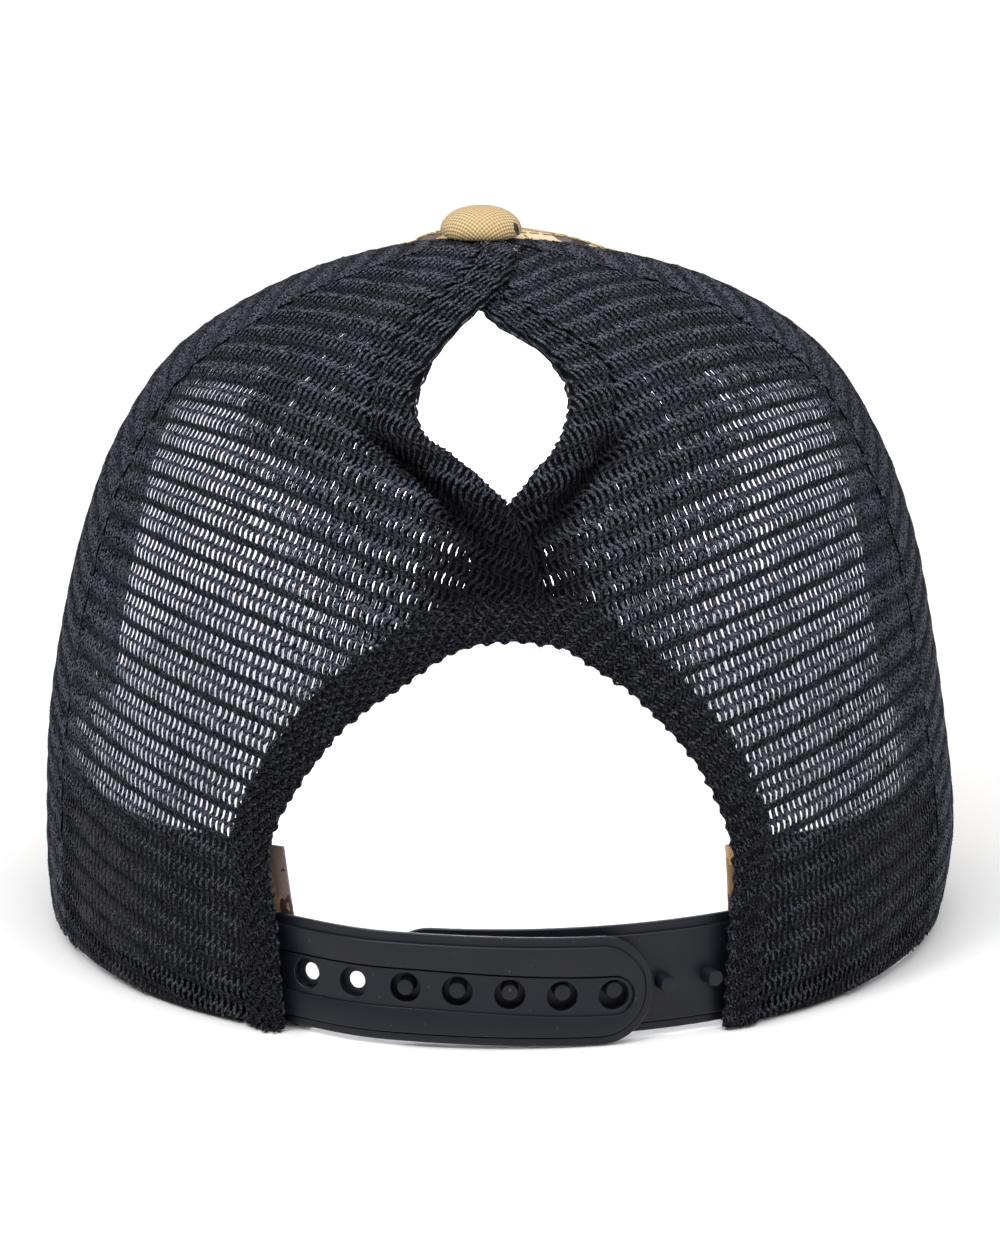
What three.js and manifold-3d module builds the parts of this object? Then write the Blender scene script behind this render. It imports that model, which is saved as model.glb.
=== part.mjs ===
// Trucker cap with a crossed, open back: two printed front panels on a stiff curved peak, four knitted
// mesh panels, a covered button, and a plastic snap strap under the arch. Millimetres, +Z up.
// The cap rests on its hem and on the two sides of its peak. +Y points to the peak, -Y to the strap.
import * as THREE from 'three';
import { mergeVertices } from 'three/addons/utils/BufferGeometryUtils.js';
import Module from 'manifold-3d';

const wasm = await Module();
wasm.setup();

// Driving sizes of the crown, each row a level from the hem to the top, seen from behind.
const CROWN_ROWS = [
  { height: 0, left: 93.6, right: 92.6, back: 95.4, front: 97.0 },
  { height: 10, left: 94.8, right: 94.8, back: 96.4, front: 97.6 },
  { height: 23, left: 94.9, right: 95.8, back: 96.1, front: 97.4 },
  { height: 43, left: 94.0, right: 93.6, back: 93.8, front: 96.2 },
  { height: 63, left: 91.0, right: 90.5, back: 89.6, front: 93.8 },
  { height: 83, left: 86.3, right: 86.3, back: 83.2, front: 89.4 },
  { height: 102.3, left: 78.9, right: 79.0, back: 74.0, front: 81.8 },
  { height: 119.9, left: 66.2, right: 67.1, back: 60.2, front: 69.4 },
  { height: 132.9, left: 43.9, right: 45.6, back: 42.2, front: 51.0 },
  { height: 140.7, left: 18.5, right: 18.5, back: 20.2, front: 26.0 },
  { height: 143.1, left: 0, right: 0, back: 0, front: 0 },
];
const CROWN_TOP = 143.1;
const TOP_LEAN = -3.5;
const LEAN_POWER = 24;
const SIDE_HEM_RISE = 1.3;
const HEM_RISE_FROM = 42;
const HEM_RISE_TO = 70;

// The crown's own axis stands this far behind and to the left of the middle of the whole cap.
const AXIS_BEHIND_MIDDLE = 35.95;
const AXIS_LEFT_OF_MIDDLE = 0.4;

// Fineness of the faceted walls, and the reach of the tool that cuts the arch.
const FRONT_GRID = { columns: 11, rows: 16 };
const SIDE_GRID = { columns: 8, rows: 16 };
const BACK_GRID = { columns: 18, rows: 26 };
const BAND_GRID = { columns: 64, rows: 4 };
const PEAK_GRID = { columns: 40, rows: 8 };
const STRAP_GRID = { columns: 40, rows: 2 };
const BINDING_GRID = { columns: 56, rows: 3 };
const EDGE_CROWDING = 1.35;
const CUT_START = 20.0;
const CUT_DEPTH = 90.0;
const CUT_BELOW = -10.0;

// Cloth and seams.
const MESH_WALL = 1.5;
const FRONT_WALL = 2.0;
const SEAM_GAP = 0.3;
const SIDE_SEAM = 71;
const FRONT_SEAM = 113;
const LAST_LEVEL = 0.98;

// Peak: a slab bent round a fore-and-aft axis, so that its middle is raised and its sides touch down.
const PEAK_RISE = 32.0;
const PEAK_BEND = 240.0;
const PEAK_THICKNESS = 3.0;
const PEAK_REACH = 168.0;
const PEAK_HALF_WIDTH = 89.4;
const PEAK_SIDE_START = 40.0;
const PEAK_SQUARENESS = 2.35;
const PEAK_SPAN = 67;
const PEAK_SEAM_GAP = 0.6;
const HEM_OVER_PEAK = 0.6;

// Overlap of the two back panels, the left one on the outside: full up to one distance from the free
// edge and gone at another, below the ponytail hole and again above it.
const OUTER_LIFT = 0.6;
const INNER_LIFT = -1.4;
const LAP_FULL_TO = 12.0;
const LAP_GONE_AT = 25.6;
const KNOT = { from: 70, full: 84, easing: 103, gone: 112 };
const TOP_LAP = { from: 124, full: 134 };

// The soft roll along the hole and the crease beyond it.
const BESIDE_HOLE = { from: 101, full: 108, easing: 122, gone: 131 };
const ROLL_WIDTH = 9.0;
const ROLL_LIFT = 1.9;
const CREASE_WIDTH = 5.0;
const CREASE_LEFT = 1.6;
const CREASE_RIGHT = 1.0;

// Free edges of the back panels from the arch up to the button: sideways place at each height.
const LEFT_EDGE = [
  { height: 71.3, x: 8.6 },
  { height: 86.3, x: 9.2 },
  { height: 96.3, x: 6.3 },
  { height: 104.3, x: 1.4 },
  { height: 108.3, x: -3.4 },
  { height: 112.1, x: -8.6 },
  { height: 114.7, x: -13.4 },
  { height: 118.3, x: -15.8 },
  { height: 122.3, x: -15.7 },
  { height: 127.3, x: -13.3 },
  { height: 131.3, x: -9.6 },
  { height: 135.7, x: -3.6 },
  { height: 139.3, x: 1.6 },
  { height: 141.9, x: 3.4 },
];
const RIGHT_EDGE = [
  { height: 71.3, x: -8.0 },
  { height: 86.3, x: -7.6 },
  { height: 96.3, x: -3.4 },
  { height: 104.3, x: 2.2 },
  { height: 109.8, x: 7.2 },
  { height: 112.3, x: 10.2 },
  { height: 116.1, x: 12.6 },
  { height: 120.3, x: 13.9 },
  { height: 124.3, x: 13.3 },
  { height: 128.3, x: 10.8 },
  { height: 131.3, x: 7.4 },
  { height: 135.1, x: -0.4 },
  { height: 139.3, x: -7.0 },
  { height: 141.9, x: -9.0 },
];

// Open edge of the arch from its lower left end over the top to its lower right end.
const ARCH_EDGE = [
  { x: -42.3, height: 0 },
  { x: -43.6, height: 21.3 },
  { x: -44.4, height: 39.3 },
  { x: -32.4, height: 59.3 },
  { x: -19.0, height: 70.3 },
  { x: -5.4, height: 78.3 },
  { x: 10.6, height: 78.3 },
  { x: 19.5, height: 73.3 },
  { x: 27.6, height: 67.3 },
  { x: 39.4, height: 53.3 },
  { x: 46.0, height: 37.3 },
  { x: 45.6, height: 21.3 },
  { x: 44.6, height: 0 },
];
const BINDING_SIDE_WIDTH = 6.6;
const BINDING_TOP_WIDTH = 8.8;
const BINDING_OUT = 0.8;
const BINDING_IN = -2.2;
const BINDING_EDGE = 0.3;

// Band inside the hem.
const BAND_HEIGHT = 36.5;
const BAND_WALL = 1.5;
const BAND_OUTSIDE = -2.45;
const BAND_OUTSIDE_AT_STRAP = -5.8;
const BAND_LEFT_END = 24.6;
const BAND_LEFT_SLANT = 4.1;
const BAND_RIGHT_END = 30.7;
const BAND_EASING = 14;

// Snap strap.
const STRAP_LOW = 1.3;
const HOLED_DIP = 1.1;
const DIP_FROM = -15;
const DIP_FULL = 20;
const HOLED_TUCK_END = -30;
const HOLED_PROUD_FROM = -13;
const STRAP_TALL = 22.0;
const STRAP_THICKNESS = 1.6;
const STRAP_TAB = 34;
const STRAP_TUCK = -3.8;
const STRAP_PROUD = -0.3;
const SNAP_PITCH = 10.45;
const SNAP_COUNT = 7;
const SNAPS_FREE = 2;
const FIRST_HOLE = -39.45;
const OPEN_HOLE_EXTRA = 0.6;
const FREE_STUD_SHIFT = 1.0;
const SNAP_DROP = 0.9;
const SNAP_DROP_FROM = -12;
const SNAP_DROP_FULL = 13;
const HOLE_RADIUS = 2.0;
const PUNCH_FROM = -6.0;
const PUNCH_TO = 3.0;
const STUD_RADIUS = 1.6;
const STUD_HEIGHT = 2.2;
const HOLED_TIP = 31.6;
const STUDDED_TIP = -25.0;

// Button.
const BUTTON_SEAT = 0.3;
const BUTTON_PROFILE = [
  { radius: 0, height: 0 },
  { radius: 5.6, height: 0 },
  { radius: 7.6, height: -0.3 },
  { radius: 8.3, height: 0.9 },
  { radius: 8.0, height: 2.4 },
  { radius: 6.8, height: 3.9 },
  { radius: 4.8, height: 5.0 },
  { radius: 2.4, height: 5.6 },
  { radius: 0, height: 5.8 },
];
const ROUND_STEPS = 28;
const SNAP_STEPS = 16;

const cloth = (color) => new THREE.MeshStandardMaterial({ color, roughness: 0.95, metalness: 0 });
const MESH_BLACK = cloth(0x1b1b21);
const PRINT_TAN = cloth(0xc8a571);
const BUTTON_TAN = cloth(0xc9a566);
const STRAP_BLACK = new THREE.MeshStandardMaterial({ color: 0x17171d, roughness: 0.45, metalness: 0 });

const degrees = (value) => THREE.MathUtils.degToRad(value);
const smooth = (value, low, high) => THREE.MathUtils.smoothstep(value, low, high);

// The four weights of a curve that passes through its knots.
function throughKnots(before, from, to, after, s) {
  const line = (to - before) * s;
  const bend = (2 * before - 5 * from + 4 * to - after) * s * s;
  const turn = (3 * from - before - 3 * to + after) * s * s * s;
  return 0.5 * (2 * from + line + bend + turn);
}

// Crown sizes at a level, 0 at the hem and 1 at the top.
function crownSizes(level) {
  const last = CROWN_ROWS.length - 1;
  const place = THREE.MathUtils.clamp(level, 0, 1) * last;
  const i = Math.min(Math.floor(place), last - 1);
  const row = (n, key) => {
    if (n < 0) return 2 * CROWN_ROWS[0][key] - CROWN_ROWS[1][key];
    if (n > last) return key === 'height' ? CROWN_ROWS[last - 1].height : -CROWN_ROWS[last - 1][key];
    return CROWN_ROWS[n][key];
  };
  const at = (key) => throughKnots(row(i - 1, key), row(i, key), row(i + 1, key), row(i + 2, key), place - i);
  return { height: at('height'), left: at('left'), right: at('right'), back: at('back'), front: at('front') };
}

const leanAt = (height) => TOP_LEAN * (Math.max(height, 0) / CROWN_TOP) ** LEAN_POWER;

// A point of the crown's outside: azimuth in degrees from the middle of the back, right side positive.
function crownPoint(azimuth, level) {
  const sizes = crownSizes(level);
  const turn = degrees(azimuth);
  const reach = Math.cos(turn) > 0 ? sizes.back : sizes.front;
  const halfWidth = Math.sin(turn) > 0 ? sizes.right : sizes.left;
  const x = halfWidth * Math.sin(turn) + leanAt(sizes.height);
  return new THREE.Vector3(x, -reach * Math.cos(turn), sizes.height);
}

function crownNormal(azimuth, level) {
  const step = 0.004;
  const low = Math.max(level - step, 0);
  const high = Math.min(level + step, 0.995);
  const along = crownPoint(azimuth + 0.5, level).sub(crownPoint(azimuth - 0.5, level));
  const up = crownPoint(azimuth, high).sub(crownPoint(azimuth, low));
  return along.cross(up).normalize();
}

// A point a given distance outside the crown's outer face, or inside it when the lift is negative.
function liftedPoint(azimuth, level, lift) {
  return crownPoint(azimuth, level).addScaledVector(crownNormal(azimuth, level), lift);
}

function levelAt(height) {
  let low = 0;
  let high = 1;
  for (let pass = 0; pass < 30; pass += 1) {
    const middle = (low + high) / 2;
    if (crownSizes(middle).height < height) low = middle;
    else high = middle;
  }
  return (low + high) / 2;
}

function azimuthAt(x, level) {
  const sizes = crownSizes(level);
  const offset = x - leanAt(sizes.height);
  const ratio = offset / (offset > 0 ? sizes.right : sizes.left);
  return THREE.MathUtils.radToDeg(Math.asin(THREE.MathUtils.clamp(ratio, -0.7, 0.7)));
}

// Sideways place of a free edge at a height, from its table.
function edgeAt(table, height) {
  const last = table.length - 1;
  if (height <= table[0].height) return table[0].x;
  if (height >= table[last].height) return table[last].x;
  const i = table.findIndex((row) => row.height > height) - 1;
  const x = (n) => table[THREE.MathUtils.clamp(n, 0, last)].x;
  const s = (height - table[i].height) / (table[i + 1].height - table[i].height);
  return throughKnots(x(i - 1), x(i), x(i + 1), x(i + 2), s);
}

// Underside of the peak, and the hem line of the crown: lowest beside the strap, a little higher at the
// sides, and rising over the peak in front.
const peakUnderside = (x) => Math.max(PEAK_RISE - (x * x) / PEAK_BEND, 0);

function hemHeight(azimuth) {
  const fromBack = Math.abs(THREE.MathUtils.euclideanModulo(azimuth + 180, 360) - 180);
  const side = SIDE_HEM_RISE * smooth(fromBack, HEM_RISE_FROM, HEM_RISE_TO);
  if (fromBack < 90) return side;
  const rise = peakUnderside(crownPoint(azimuth, 0).x);
  return Math.max(rise + HEM_OVER_PEAK * Math.min(rise / 2, 1), side);
}

// A closed wall over a grid: outside(i, j) and inside(i, j) give its two faces.
function wallGeometry({ columns, rows }, outside, inside) {
  const across = columns + 1;
  const layer = across * (rows + 1);
  const positions = [];
  for (const face of [outside, inside]) {
    for (let j = 0; j <= rows; j += 1) {
      for (let i = 0; i <= columns; i += 1) positions.push(...face(i / columns, j / rows).toArray());
    }
  }
  const index = [];
  const quad = (a, b, c, d) => index.push(a, b, c, a, c, d);
  for (let j = 0; j < rows; j += 1) {
    for (let i = 0; i < columns; i += 1) {
      const a = j * across + i;
      quad(a, a + 1, a + 1 + across, a + across);
      quad(a + layer, a + across + layer, a + 1 + across + layer, a + 1 + layer);
    }
    const left = j * across;
    const right = left + columns;
    quad(left, left + across, left + across + layer, left + layer);
    quad(right, right + layer, right + across + layer, right + across);
  }
  for (let i = 0; i < columns; i += 1) {
    const top = rows * across + i;
    quad(i, i + layer, i + 1 + layer, i + 1);
    quad(top, top + 1, top + 1 + layer, top + layer);
  }
  return facingOut(positions, index);
}

// A closed body from points and triangles, turned inside out if its volume comes out negative.
function facingOut(positions, index) {
  const corner = (n) => new THREE.Vector3().fromArray(positions, 3 * index[n]);
  let volume = 0;
  for (let n = 0; n < index.length; n += 3) volume += corner(n).dot(corner(n + 1).cross(corner(n + 2)));
  if (volume < 0) index.reverse();
  const geometry = new THREE.BufferGeometry();
  geometry.setAttribute('position', new THREE.Float32BufferAttribute(positions, 3));
  geometry.setIndex(index);
  return geometry;
}

function toSolid(geometry) {
  const bare = geometry.clone();
  bare.deleteAttribute('normal');
  bare.deleteAttribute('uv');
  const merged = mergeVertices(bare, 1e-4);
  const vertProperties = new Float32Array(merged.attributes.position.array);
  const triVerts = new Uint32Array(merged.index.array);
  return new wasm.Manifold(new wasm.Mesh({ numProp: 3, vertProperties, triVerts }));
}

function fromSolid(solid) {
  const mesh = solid.getMesh();
  const geometry = new THREE.BufferGeometry();
  geometry.setAttribute('position', new THREE.BufferAttribute(new Float32Array(mesh.vertProperties), 3));
  geometry.setIndex(new THREE.BufferAttribute(new Uint32Array(mesh.triVerts), 1));
  return geometry;
}

// A crown panel between two seams, from the hem to just under the button.
function seamPanel(fromSeam, toSeam, wall, grid) {
  const place = (u, v) => {
    const bare = THREE.MathUtils.lerp(fromSeam, toSeam, u);
    const low = levelAt(hemHeight(bare));
    const level = THREE.MathUtils.lerp(low, LAST_LEVEL, v);
    const halfGap = THREE.MathUtils.radToDeg(SEAM_GAP / 2 / Math.max(crownSizes(level).left, 2));
    const azimuth = THREE.MathUtils.lerp(fromSeam + halfGap, toSeam - halfGap, u);
    return { azimuth, level };
  };
  const outside = (u, v) => {
    const { azimuth, level } = place(u, v);
    return liftedPoint(azimuth, level, 0);
  };
  const inside = (u, v) => {
    const { azimuth, level } = place(u, v);
    const point = liftedPoint(azimuth, level, -wall);
    if (v === 0) point.z = crownSizes(level).height;
    return point;
  };
  return wallGeometry(grid, outside, inside);
}

// A smooth rise from 0 to 1 and, where the stretch ends, back to 0.
function stretch(value, { from, full, easing, gone }) {
  const rise = smooth(value, from, full);
  return gone === undefined ? rise : rise * (1 - smooth(value, easing, gone));
}

// How far a back panel stands off the crown: the lap at the knot and at the top, the soft roll along the
// hole, and the crease beyond the roll.
function backLift(side, fromEdge, height) {
  const near = 1 - smooth(fromEdge, LAP_FULL_TO, LAP_GONE_AT);
  const lap = Math.max(stretch(height, KNOT), stretch(height, TOP_LAP)) * near;
  const lapLift = side < 0 ? OUTER_LIFT : INNER_LIFT;
  const beside = stretch(height, BESIDE_HOLE);
  const rollPlace = THREE.MathUtils.clamp(fromEdge / ROLL_WIDTH, 0, 1);
  const roll = ROLL_LIFT * Math.sin(Math.PI * Math.sqrt(rollPlace)) * beside;
  const creasePlace = THREE.MathUtils.clamp((fromEdge - ROLL_WIDTH) / CREASE_WIDTH, 0, 1);
  const crease = (side < 0 ? CREASE_LEFT : CREASE_RIGHT) * Math.sin(Math.PI * creasePlace) * beside;
  return lapLift * lap + roll - crease;
}

// The outline of the arch in the upright plane across the cap: its open edge, or the sewn edge of the
// binding when margin is 1, with any clearance beyond that.
function archOutline(margin, clearance, steps) {
  const knots = ARCH_EDGE.map((row) => new THREE.Vector3(row.x, row.height, 0));
  const curve = new THREE.CatmullRomCurve3(knots);
  const points = [];
  for (let n = 0; n <= steps; n += 1) {
    const tangent = curve.getTangentAt(n / steps);
    const point = curve.getPointAt(n / steps);
    const towardsTop = Math.sin((Math.PI * n) / steps) ** 2;
    const width = THREE.MathUtils.lerp(BINDING_SIDE_WIDTH, BINDING_TOP_WIDTH, towardsTop);
    const out = margin * width + clearance;
    points.push(new THREE.Vector2(point.x - tangent.y * out, point.y + tangent.x * out));
  }
  return points;
}

// A prism through the back of the crown, as wide as the arch with its binding.
function archCutter() {
  const outline = archOutline(1, SEAM_GAP, BINDING_GRID.columns);
  const first = new THREE.Vector2(outline[0].x, CUT_BELOW);
  const last = new THREE.Vector2(outline[outline.length - 1].x, CUT_BELOW);
  const shape = new THREE.Shape([first, ...outline, last]);
  const prism = new THREE.ExtrudeGeometry(shape, { depth: CUT_DEPTH, bevelEnabled: false, steps: 1 });
  prism.rotateX(Math.PI / 2);
  prism.translate(0, -CUT_START, 0);
  return prism;
}

// A back panel from its free edge to the side seam, cut out along the binding of the arch. Its columns
// crowd towards the free edge, where the folds are.
function backPanel(side, table) {
  const place = (u, v) => {
    const hem = levelAt(hemHeight(side * SIDE_SEAM * u ** EDGE_CROWDING));
    const level = THREE.MathUtils.lerp(hem, LAST_LEVEL, v);
    const sizes = crownSizes(level);
    const halfGap = THREE.MathUtils.radToDeg(SEAM_GAP / 2 / Math.max(sizes.left, 2));
    const edge = azimuthAt(edgeAt(table, sizes.height), level);
    const seam = side * (SIDE_SEAM - halfGap);
    const azimuth = THREE.MathUtils.lerp(edge, seam, u ** EDGE_CROWDING);
    const fromEdge = Math.abs(degrees(azimuth - edge)) * sizes.back;
    return { azimuth, level, lift: backLift(side, fromEdge, sizes.height) };
  };
  const outside = (u, v) => {
    const { azimuth, level, lift } = place(u, v);
    return liftedPoint(azimuth, level, lift);
  };
  const inside = (u, v) => {
    const { azimuth, level, lift } = place(u, v);
    const point = liftedPoint(azimuth, level, lift - MESH_WALL);
    if (v === 0) point.z = crownSizes(level).height;
    return point;
  };
  const whole = toSolid(wallGeometry(BACK_GRID, outside, inside));
  const cut = toSolid(archCutter());
  return fromSolid(whole.subtract(cut));
}

// The folded knit tape that edges the arch, thicker than the panels and rounded across.
function archBinding() {
  const steps = BINDING_GRID.columns;
  const open = archOutline(0, 0, steps);
  const sewn = archOutline(1, 0, steps);
  const face = (u, v, lift) => {
    const n = Math.round(u * steps);
    const spot = open[n].clone().lerp(sewn[n], v);
    const height = n === 0 || n === steps ? 0 : Math.max(spot.y, 0);
    const level = levelAt(height);
    const point = liftedPoint(azimuthAt(spot.x, level), level, lift);
    if (height === 0) point.z = 0;
    return point;
  };
  const roundOut = (v) => BINDING_OUT * Math.sin(Math.PI * v);
  const outside = (u, v) => face(u, v, roundOut(v));
  const inside = (u, v) => face(u, v, BINDING_IN + BINDING_EDGE * (1 - Math.sin(Math.PI * v)));
  return wallGeometry(BINDING_GRID, outside, inside);
}

// The band inside the hem: one loop from one side of the arch round the front to the other.
function sweatband() {
  const place = (u, v) => {
    const leftEnd = BAND_LEFT_END + BAND_LEFT_SLANT * v;
    const azimuth = THREE.MathUtils.lerp(BAND_RIGHT_END, 360 - leftEnd, u);
    const height = hemHeight(azimuth) + BAND_HEIGHT * v;
    const fromBack = Math.min(azimuth, 360 - azimuth);
    const away = smooth(fromBack, STRAP_TAB + 1, STRAP_TAB + BAND_EASING);
    const lift = THREE.MathUtils.lerp(BAND_OUTSIDE_AT_STRAP, BAND_OUTSIDE, away);
    return { azimuth, height, level: levelAt(height), lift };
  };
  const face = (u, v, extra) => {
    const { azimuth, height, level, lift } = place(u, v);
    const point = liftedPoint(azimuth, level, lift + extra);
    if (v === 0) point.z = height;
    return point;
  };
  return wallGeometry(BAND_GRID, (u, v) => face(u, v, 0), (u, v) => face(u, v, -BAND_WALL));
}

// The peak, from the seam under the front of the crown to its rounded front edge.
function peak() {
  const place = (u, v) => {
    const s = 2 * u - 1;
    const azimuth = 180 + s * PEAK_SPAN;
    const seamHeight = peakUnderside(crownPoint(azimuth, 0).x) + PEAK_THICKNESS / 2;
    const seam = liftedPoint(azimuth, levelAt(seamHeight), PEAK_SEAM_GAP);
    const sweep = degrees(90 * s);
    const power = 2 / PEAK_SQUARENESS;
    const frontX = -PEAK_HALF_WIDTH * Math.sign(s) * Math.abs(Math.sin(sweep)) ** power;
    const frontY = PEAK_SIDE_START + (PEAK_REACH - PEAK_SIDE_START) * Math.max(Math.cos(sweep), 0) ** power;
    return new THREE.Vector2(seam.x, seam.y).lerp(new THREE.Vector2(frontX, frontY), v);
  };
  const face = (u, v, extra) => {
    const spot = place(u, v);
    return new THREE.Vector3(spot.x, spot.y, peakUnderside(spot.x) + extra);
  };
  return wallGeometry(PEAK_GRID, (u, v) => face(u, v, PEAK_THICKNESS), (u, v) => face(u, v, 0));
}

function button() {
  const seat = CROWN_TOP + OUTER_LIFT + BUTTON_SEAT;
  const profile = BUTTON_PROFILE.map((row) => new THREE.Vector2(row.radius, row.height));
  const geometry = new THREE.LatheGeometry(profile, ROUND_STEPS);
  geometry.rotateX(Math.PI / 2);
  geometry.translate(TOP_LEAN, 0, seat);
  return fromSolid(toSolid(geometry));
}

// How far the outer face of a strap half stands off the crown at an azimuth: tucked in where it is sewn.
function strapLift(azimuth, holed) {
  if (!holed) return STRAP_TUCK;
  return THREE.MathUtils.lerp(STRAP_TUCK, STRAP_PROUD, smooth(azimuth, HOLED_TUCK_END, HOLED_PROUD_FROM));
}

// Height of a strap half's middle line: the holed half dips a little towards its tip.
function strapMiddle(azimuth, holed) {
  const dip = holed ? HOLED_DIP * smooth(azimuth, DIP_FROM, DIP_FULL) : 0;
  return STRAP_LOW + STRAP_TALL / 2 - dip;
}

// A strap half: sewn end, straight edges and a half-round tip.
function strapBlade(sewnAzimuth, tip, holed) {
  const reach = CROWN_ROWS[1].back;
  const towards = Math.sign(tip * reach - degrees(sewnAzimuth) * reach * reach);
  const radius = STRAP_TALL / 2;
  const place = (u, v) => {
    const start = degrees(sewnAzimuth) * reach;
    const s = THREE.MathUtils.lerp(start, tip, 1 - (1 - u) ** 1.5);
    const left = Math.max(towards * (tip - s), 0);
    const half = left >= radius ? radius : Math.sqrt(Math.max(radius ** 2 - (radius - left) ** 2, 0.25));
    const azimuth = THREE.MathUtils.radToDeg(s / reach);
    return { azimuth, height: strapMiddle(azimuth, holed) + half * (2 * v - 1) };
  };
  const face = (u, v, extra) => {
    const { azimuth, height } = place(u, v);
    const middle = levelAt(STRAP_LOW + radius);
    const point = liftedPoint(azimuth, middle, strapLift(azimuth, holed) + extra);
    point.z = height;
    return point;
  };
  return wallGeometry(STRAP_GRID, (u, v) => face(u, v, 0), (u, v) => face(u, v, -STRAP_THICKNESS));
}

// Place of a snap along the back: the open holes and the free studs stand a little wider apart.
function snapAlong(n) {
  const open = OPEN_HOLE_EXTRA * Math.max(SNAPS_FREE - n, 0);
  const free = n < SNAP_COUNT ? 0 : FREE_STUD_SHIFT;
  return FIRST_HOLE + SNAP_PITCH * n - open + free;
}

// A short round bar that stands square to the strap, from one lift to another. The row of snaps runs a
// little below the strap's middle line towards the right.
function snapBar(along, radius, from, to, holed) {
  const azimuth = THREE.MathUtils.radToDeg(along / CROWN_ROWS[1].back);
  const drop = SNAP_DROP * smooth(azimuth, SNAP_DROP_FROM, SNAP_DROP_FULL);
  const height = strapMiddle(azimuth, holed) - drop;
  const middle = levelAt(STRAP_LOW + STRAP_TALL / 2);
  const low = liftedPoint(azimuth, middle, from);
  const high = liftedPoint(azimuth, middle, to);
  high.z = low.z;
  const bar = new THREE.CylinderGeometry(radius, radius, low.distanceTo(high), SNAP_STEPS, 1);
  const direction = high.clone().sub(low).normalize();
  bar.applyQuaternion(new THREE.Quaternion().setFromUnitVectors(new THREE.Vector3(0, 1, 0), direction));
  bar.translate((low.x + high.x) / 2, (low.y + high.y) / 2, height);
  return toSolid(bar);
}

function holedStrap() {
  let strap = toSolid(strapBlade(-STRAP_TAB, HOLED_TIP, true));
  for (let n = 0; n < SNAP_COUNT; n += 1) {
    strap = strap.subtract(snapBar(snapAlong(n), HOLE_RADIUS, PUNCH_FROM, PUNCH_TO, true));
  }
  return fromSolid(strap);
}

function studdedStrap() {
  let strap = toSolid(strapBlade(STRAP_TAB, STUDDED_TIP, false));
  for (let n = 0; n < SNAP_COUNT; n += 1) {
    const along = snapAlong(n + SNAPS_FREE);
    const held = n + SNAPS_FREE < SNAP_COUNT;
    strap = strap.add(snapBar(along, STUD_RADIUS, STRAP_TUCK - 1, STRAP_TUCK + STUD_HEIGHT, held));
  }
  return fromSolid(strap);
}

const group = new THREE.Group();

function addPiece(name, geometry, material) {
  geometry.computeVertexNormals();
  const mesh = new THREE.Mesh(geometry, material);
  mesh.name = name;
  group.add(mesh);
}

addPiece('front_panel_right', seamPanel(FRONT_SEAM, 180, FRONT_WALL, FRONT_GRID), PRINT_TAN);
addPiece('front_panel_left', seamPanel(180, 360 - FRONT_SEAM, FRONT_WALL, FRONT_GRID), PRINT_TAN);
addPiece('side_panel_right', seamPanel(SIDE_SEAM, FRONT_SEAM, MESH_WALL, SIDE_GRID), MESH_BLACK);
addPiece('side_panel_left', seamPanel(360 - FRONT_SEAM, 360 - SIDE_SEAM, MESH_WALL, SIDE_GRID), MESH_BLACK);
addPiece('back_panel_left', backPanel(-1, LEFT_EDGE), MESH_BLACK);
addPiece('back_panel_right', backPanel(1, RIGHT_EDGE), MESH_BLACK);
addPiece('arch_binding', archBinding(), MESH_BLACK);
addPiece('sweatband', sweatband(), PRINT_TAN);
addPiece('peak', peak(), PRINT_TAN);
addPiece('button', button(), BUTTON_TAN);
addPiece('strap_holed', holedStrap(), STRAP_BLACK);
addPiece('strap_studded', studdedStrap(), STRAP_BLACK);

group.position.set(-AXIS_LEFT_OF_MIDDLE, -AXIS_BEHIND_MIDDLE, 0);

export default group;
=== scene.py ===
import math

import bmesh
import bpy
import numpy as np
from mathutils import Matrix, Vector


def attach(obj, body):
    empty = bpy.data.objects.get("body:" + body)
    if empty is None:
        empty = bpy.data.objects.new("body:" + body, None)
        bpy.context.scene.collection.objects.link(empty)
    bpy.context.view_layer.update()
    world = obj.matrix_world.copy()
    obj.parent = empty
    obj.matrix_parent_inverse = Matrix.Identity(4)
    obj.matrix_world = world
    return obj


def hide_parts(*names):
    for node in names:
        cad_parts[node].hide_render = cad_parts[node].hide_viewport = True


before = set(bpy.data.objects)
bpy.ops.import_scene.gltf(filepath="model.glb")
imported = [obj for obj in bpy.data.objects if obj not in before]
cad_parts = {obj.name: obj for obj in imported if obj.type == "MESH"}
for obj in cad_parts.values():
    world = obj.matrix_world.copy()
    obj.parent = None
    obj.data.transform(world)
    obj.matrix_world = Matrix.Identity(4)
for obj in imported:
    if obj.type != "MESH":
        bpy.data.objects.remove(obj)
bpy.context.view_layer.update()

MM = 0.001

# Camera of the photograph: behind the cap and a little above it, far off.
CAMERA_TARGET = (0.0, -36.0, 61.3)
CAMERA_DISTANCE = 1100.0
CAMERA_ELEVATION = math.radians(14)
CAMERA_LENS = 189.5
CAMERA_SENSOR = 36.0


def add_camera():
    data = bpy.data.cameras.new("camera")
    data.sensor_fit = "HORIZONTAL"
    data.sensor_width = CAMERA_SENSOR
    data.lens = CAMERA_LENS
    data.clip_start = 0.05
    data.clip_end = 20.0
    camera = bpy.data.objects.new("camera", data)
    target = Vector(CAMERA_TARGET) * MM
    away = Vector((0, -math.cos(CAMERA_ELEVATION), math.sin(CAMERA_ELEVATION)))
    camera.location = target + away * CAMERA_DISTANCE * MM
    camera.rotation_euler = away.to_track_quat("Z", "Y").to_euler()
    bpy.context.scene.collection.objects.link(camera)
    bpy.context.scene.camera = camera


add_camera()

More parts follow.
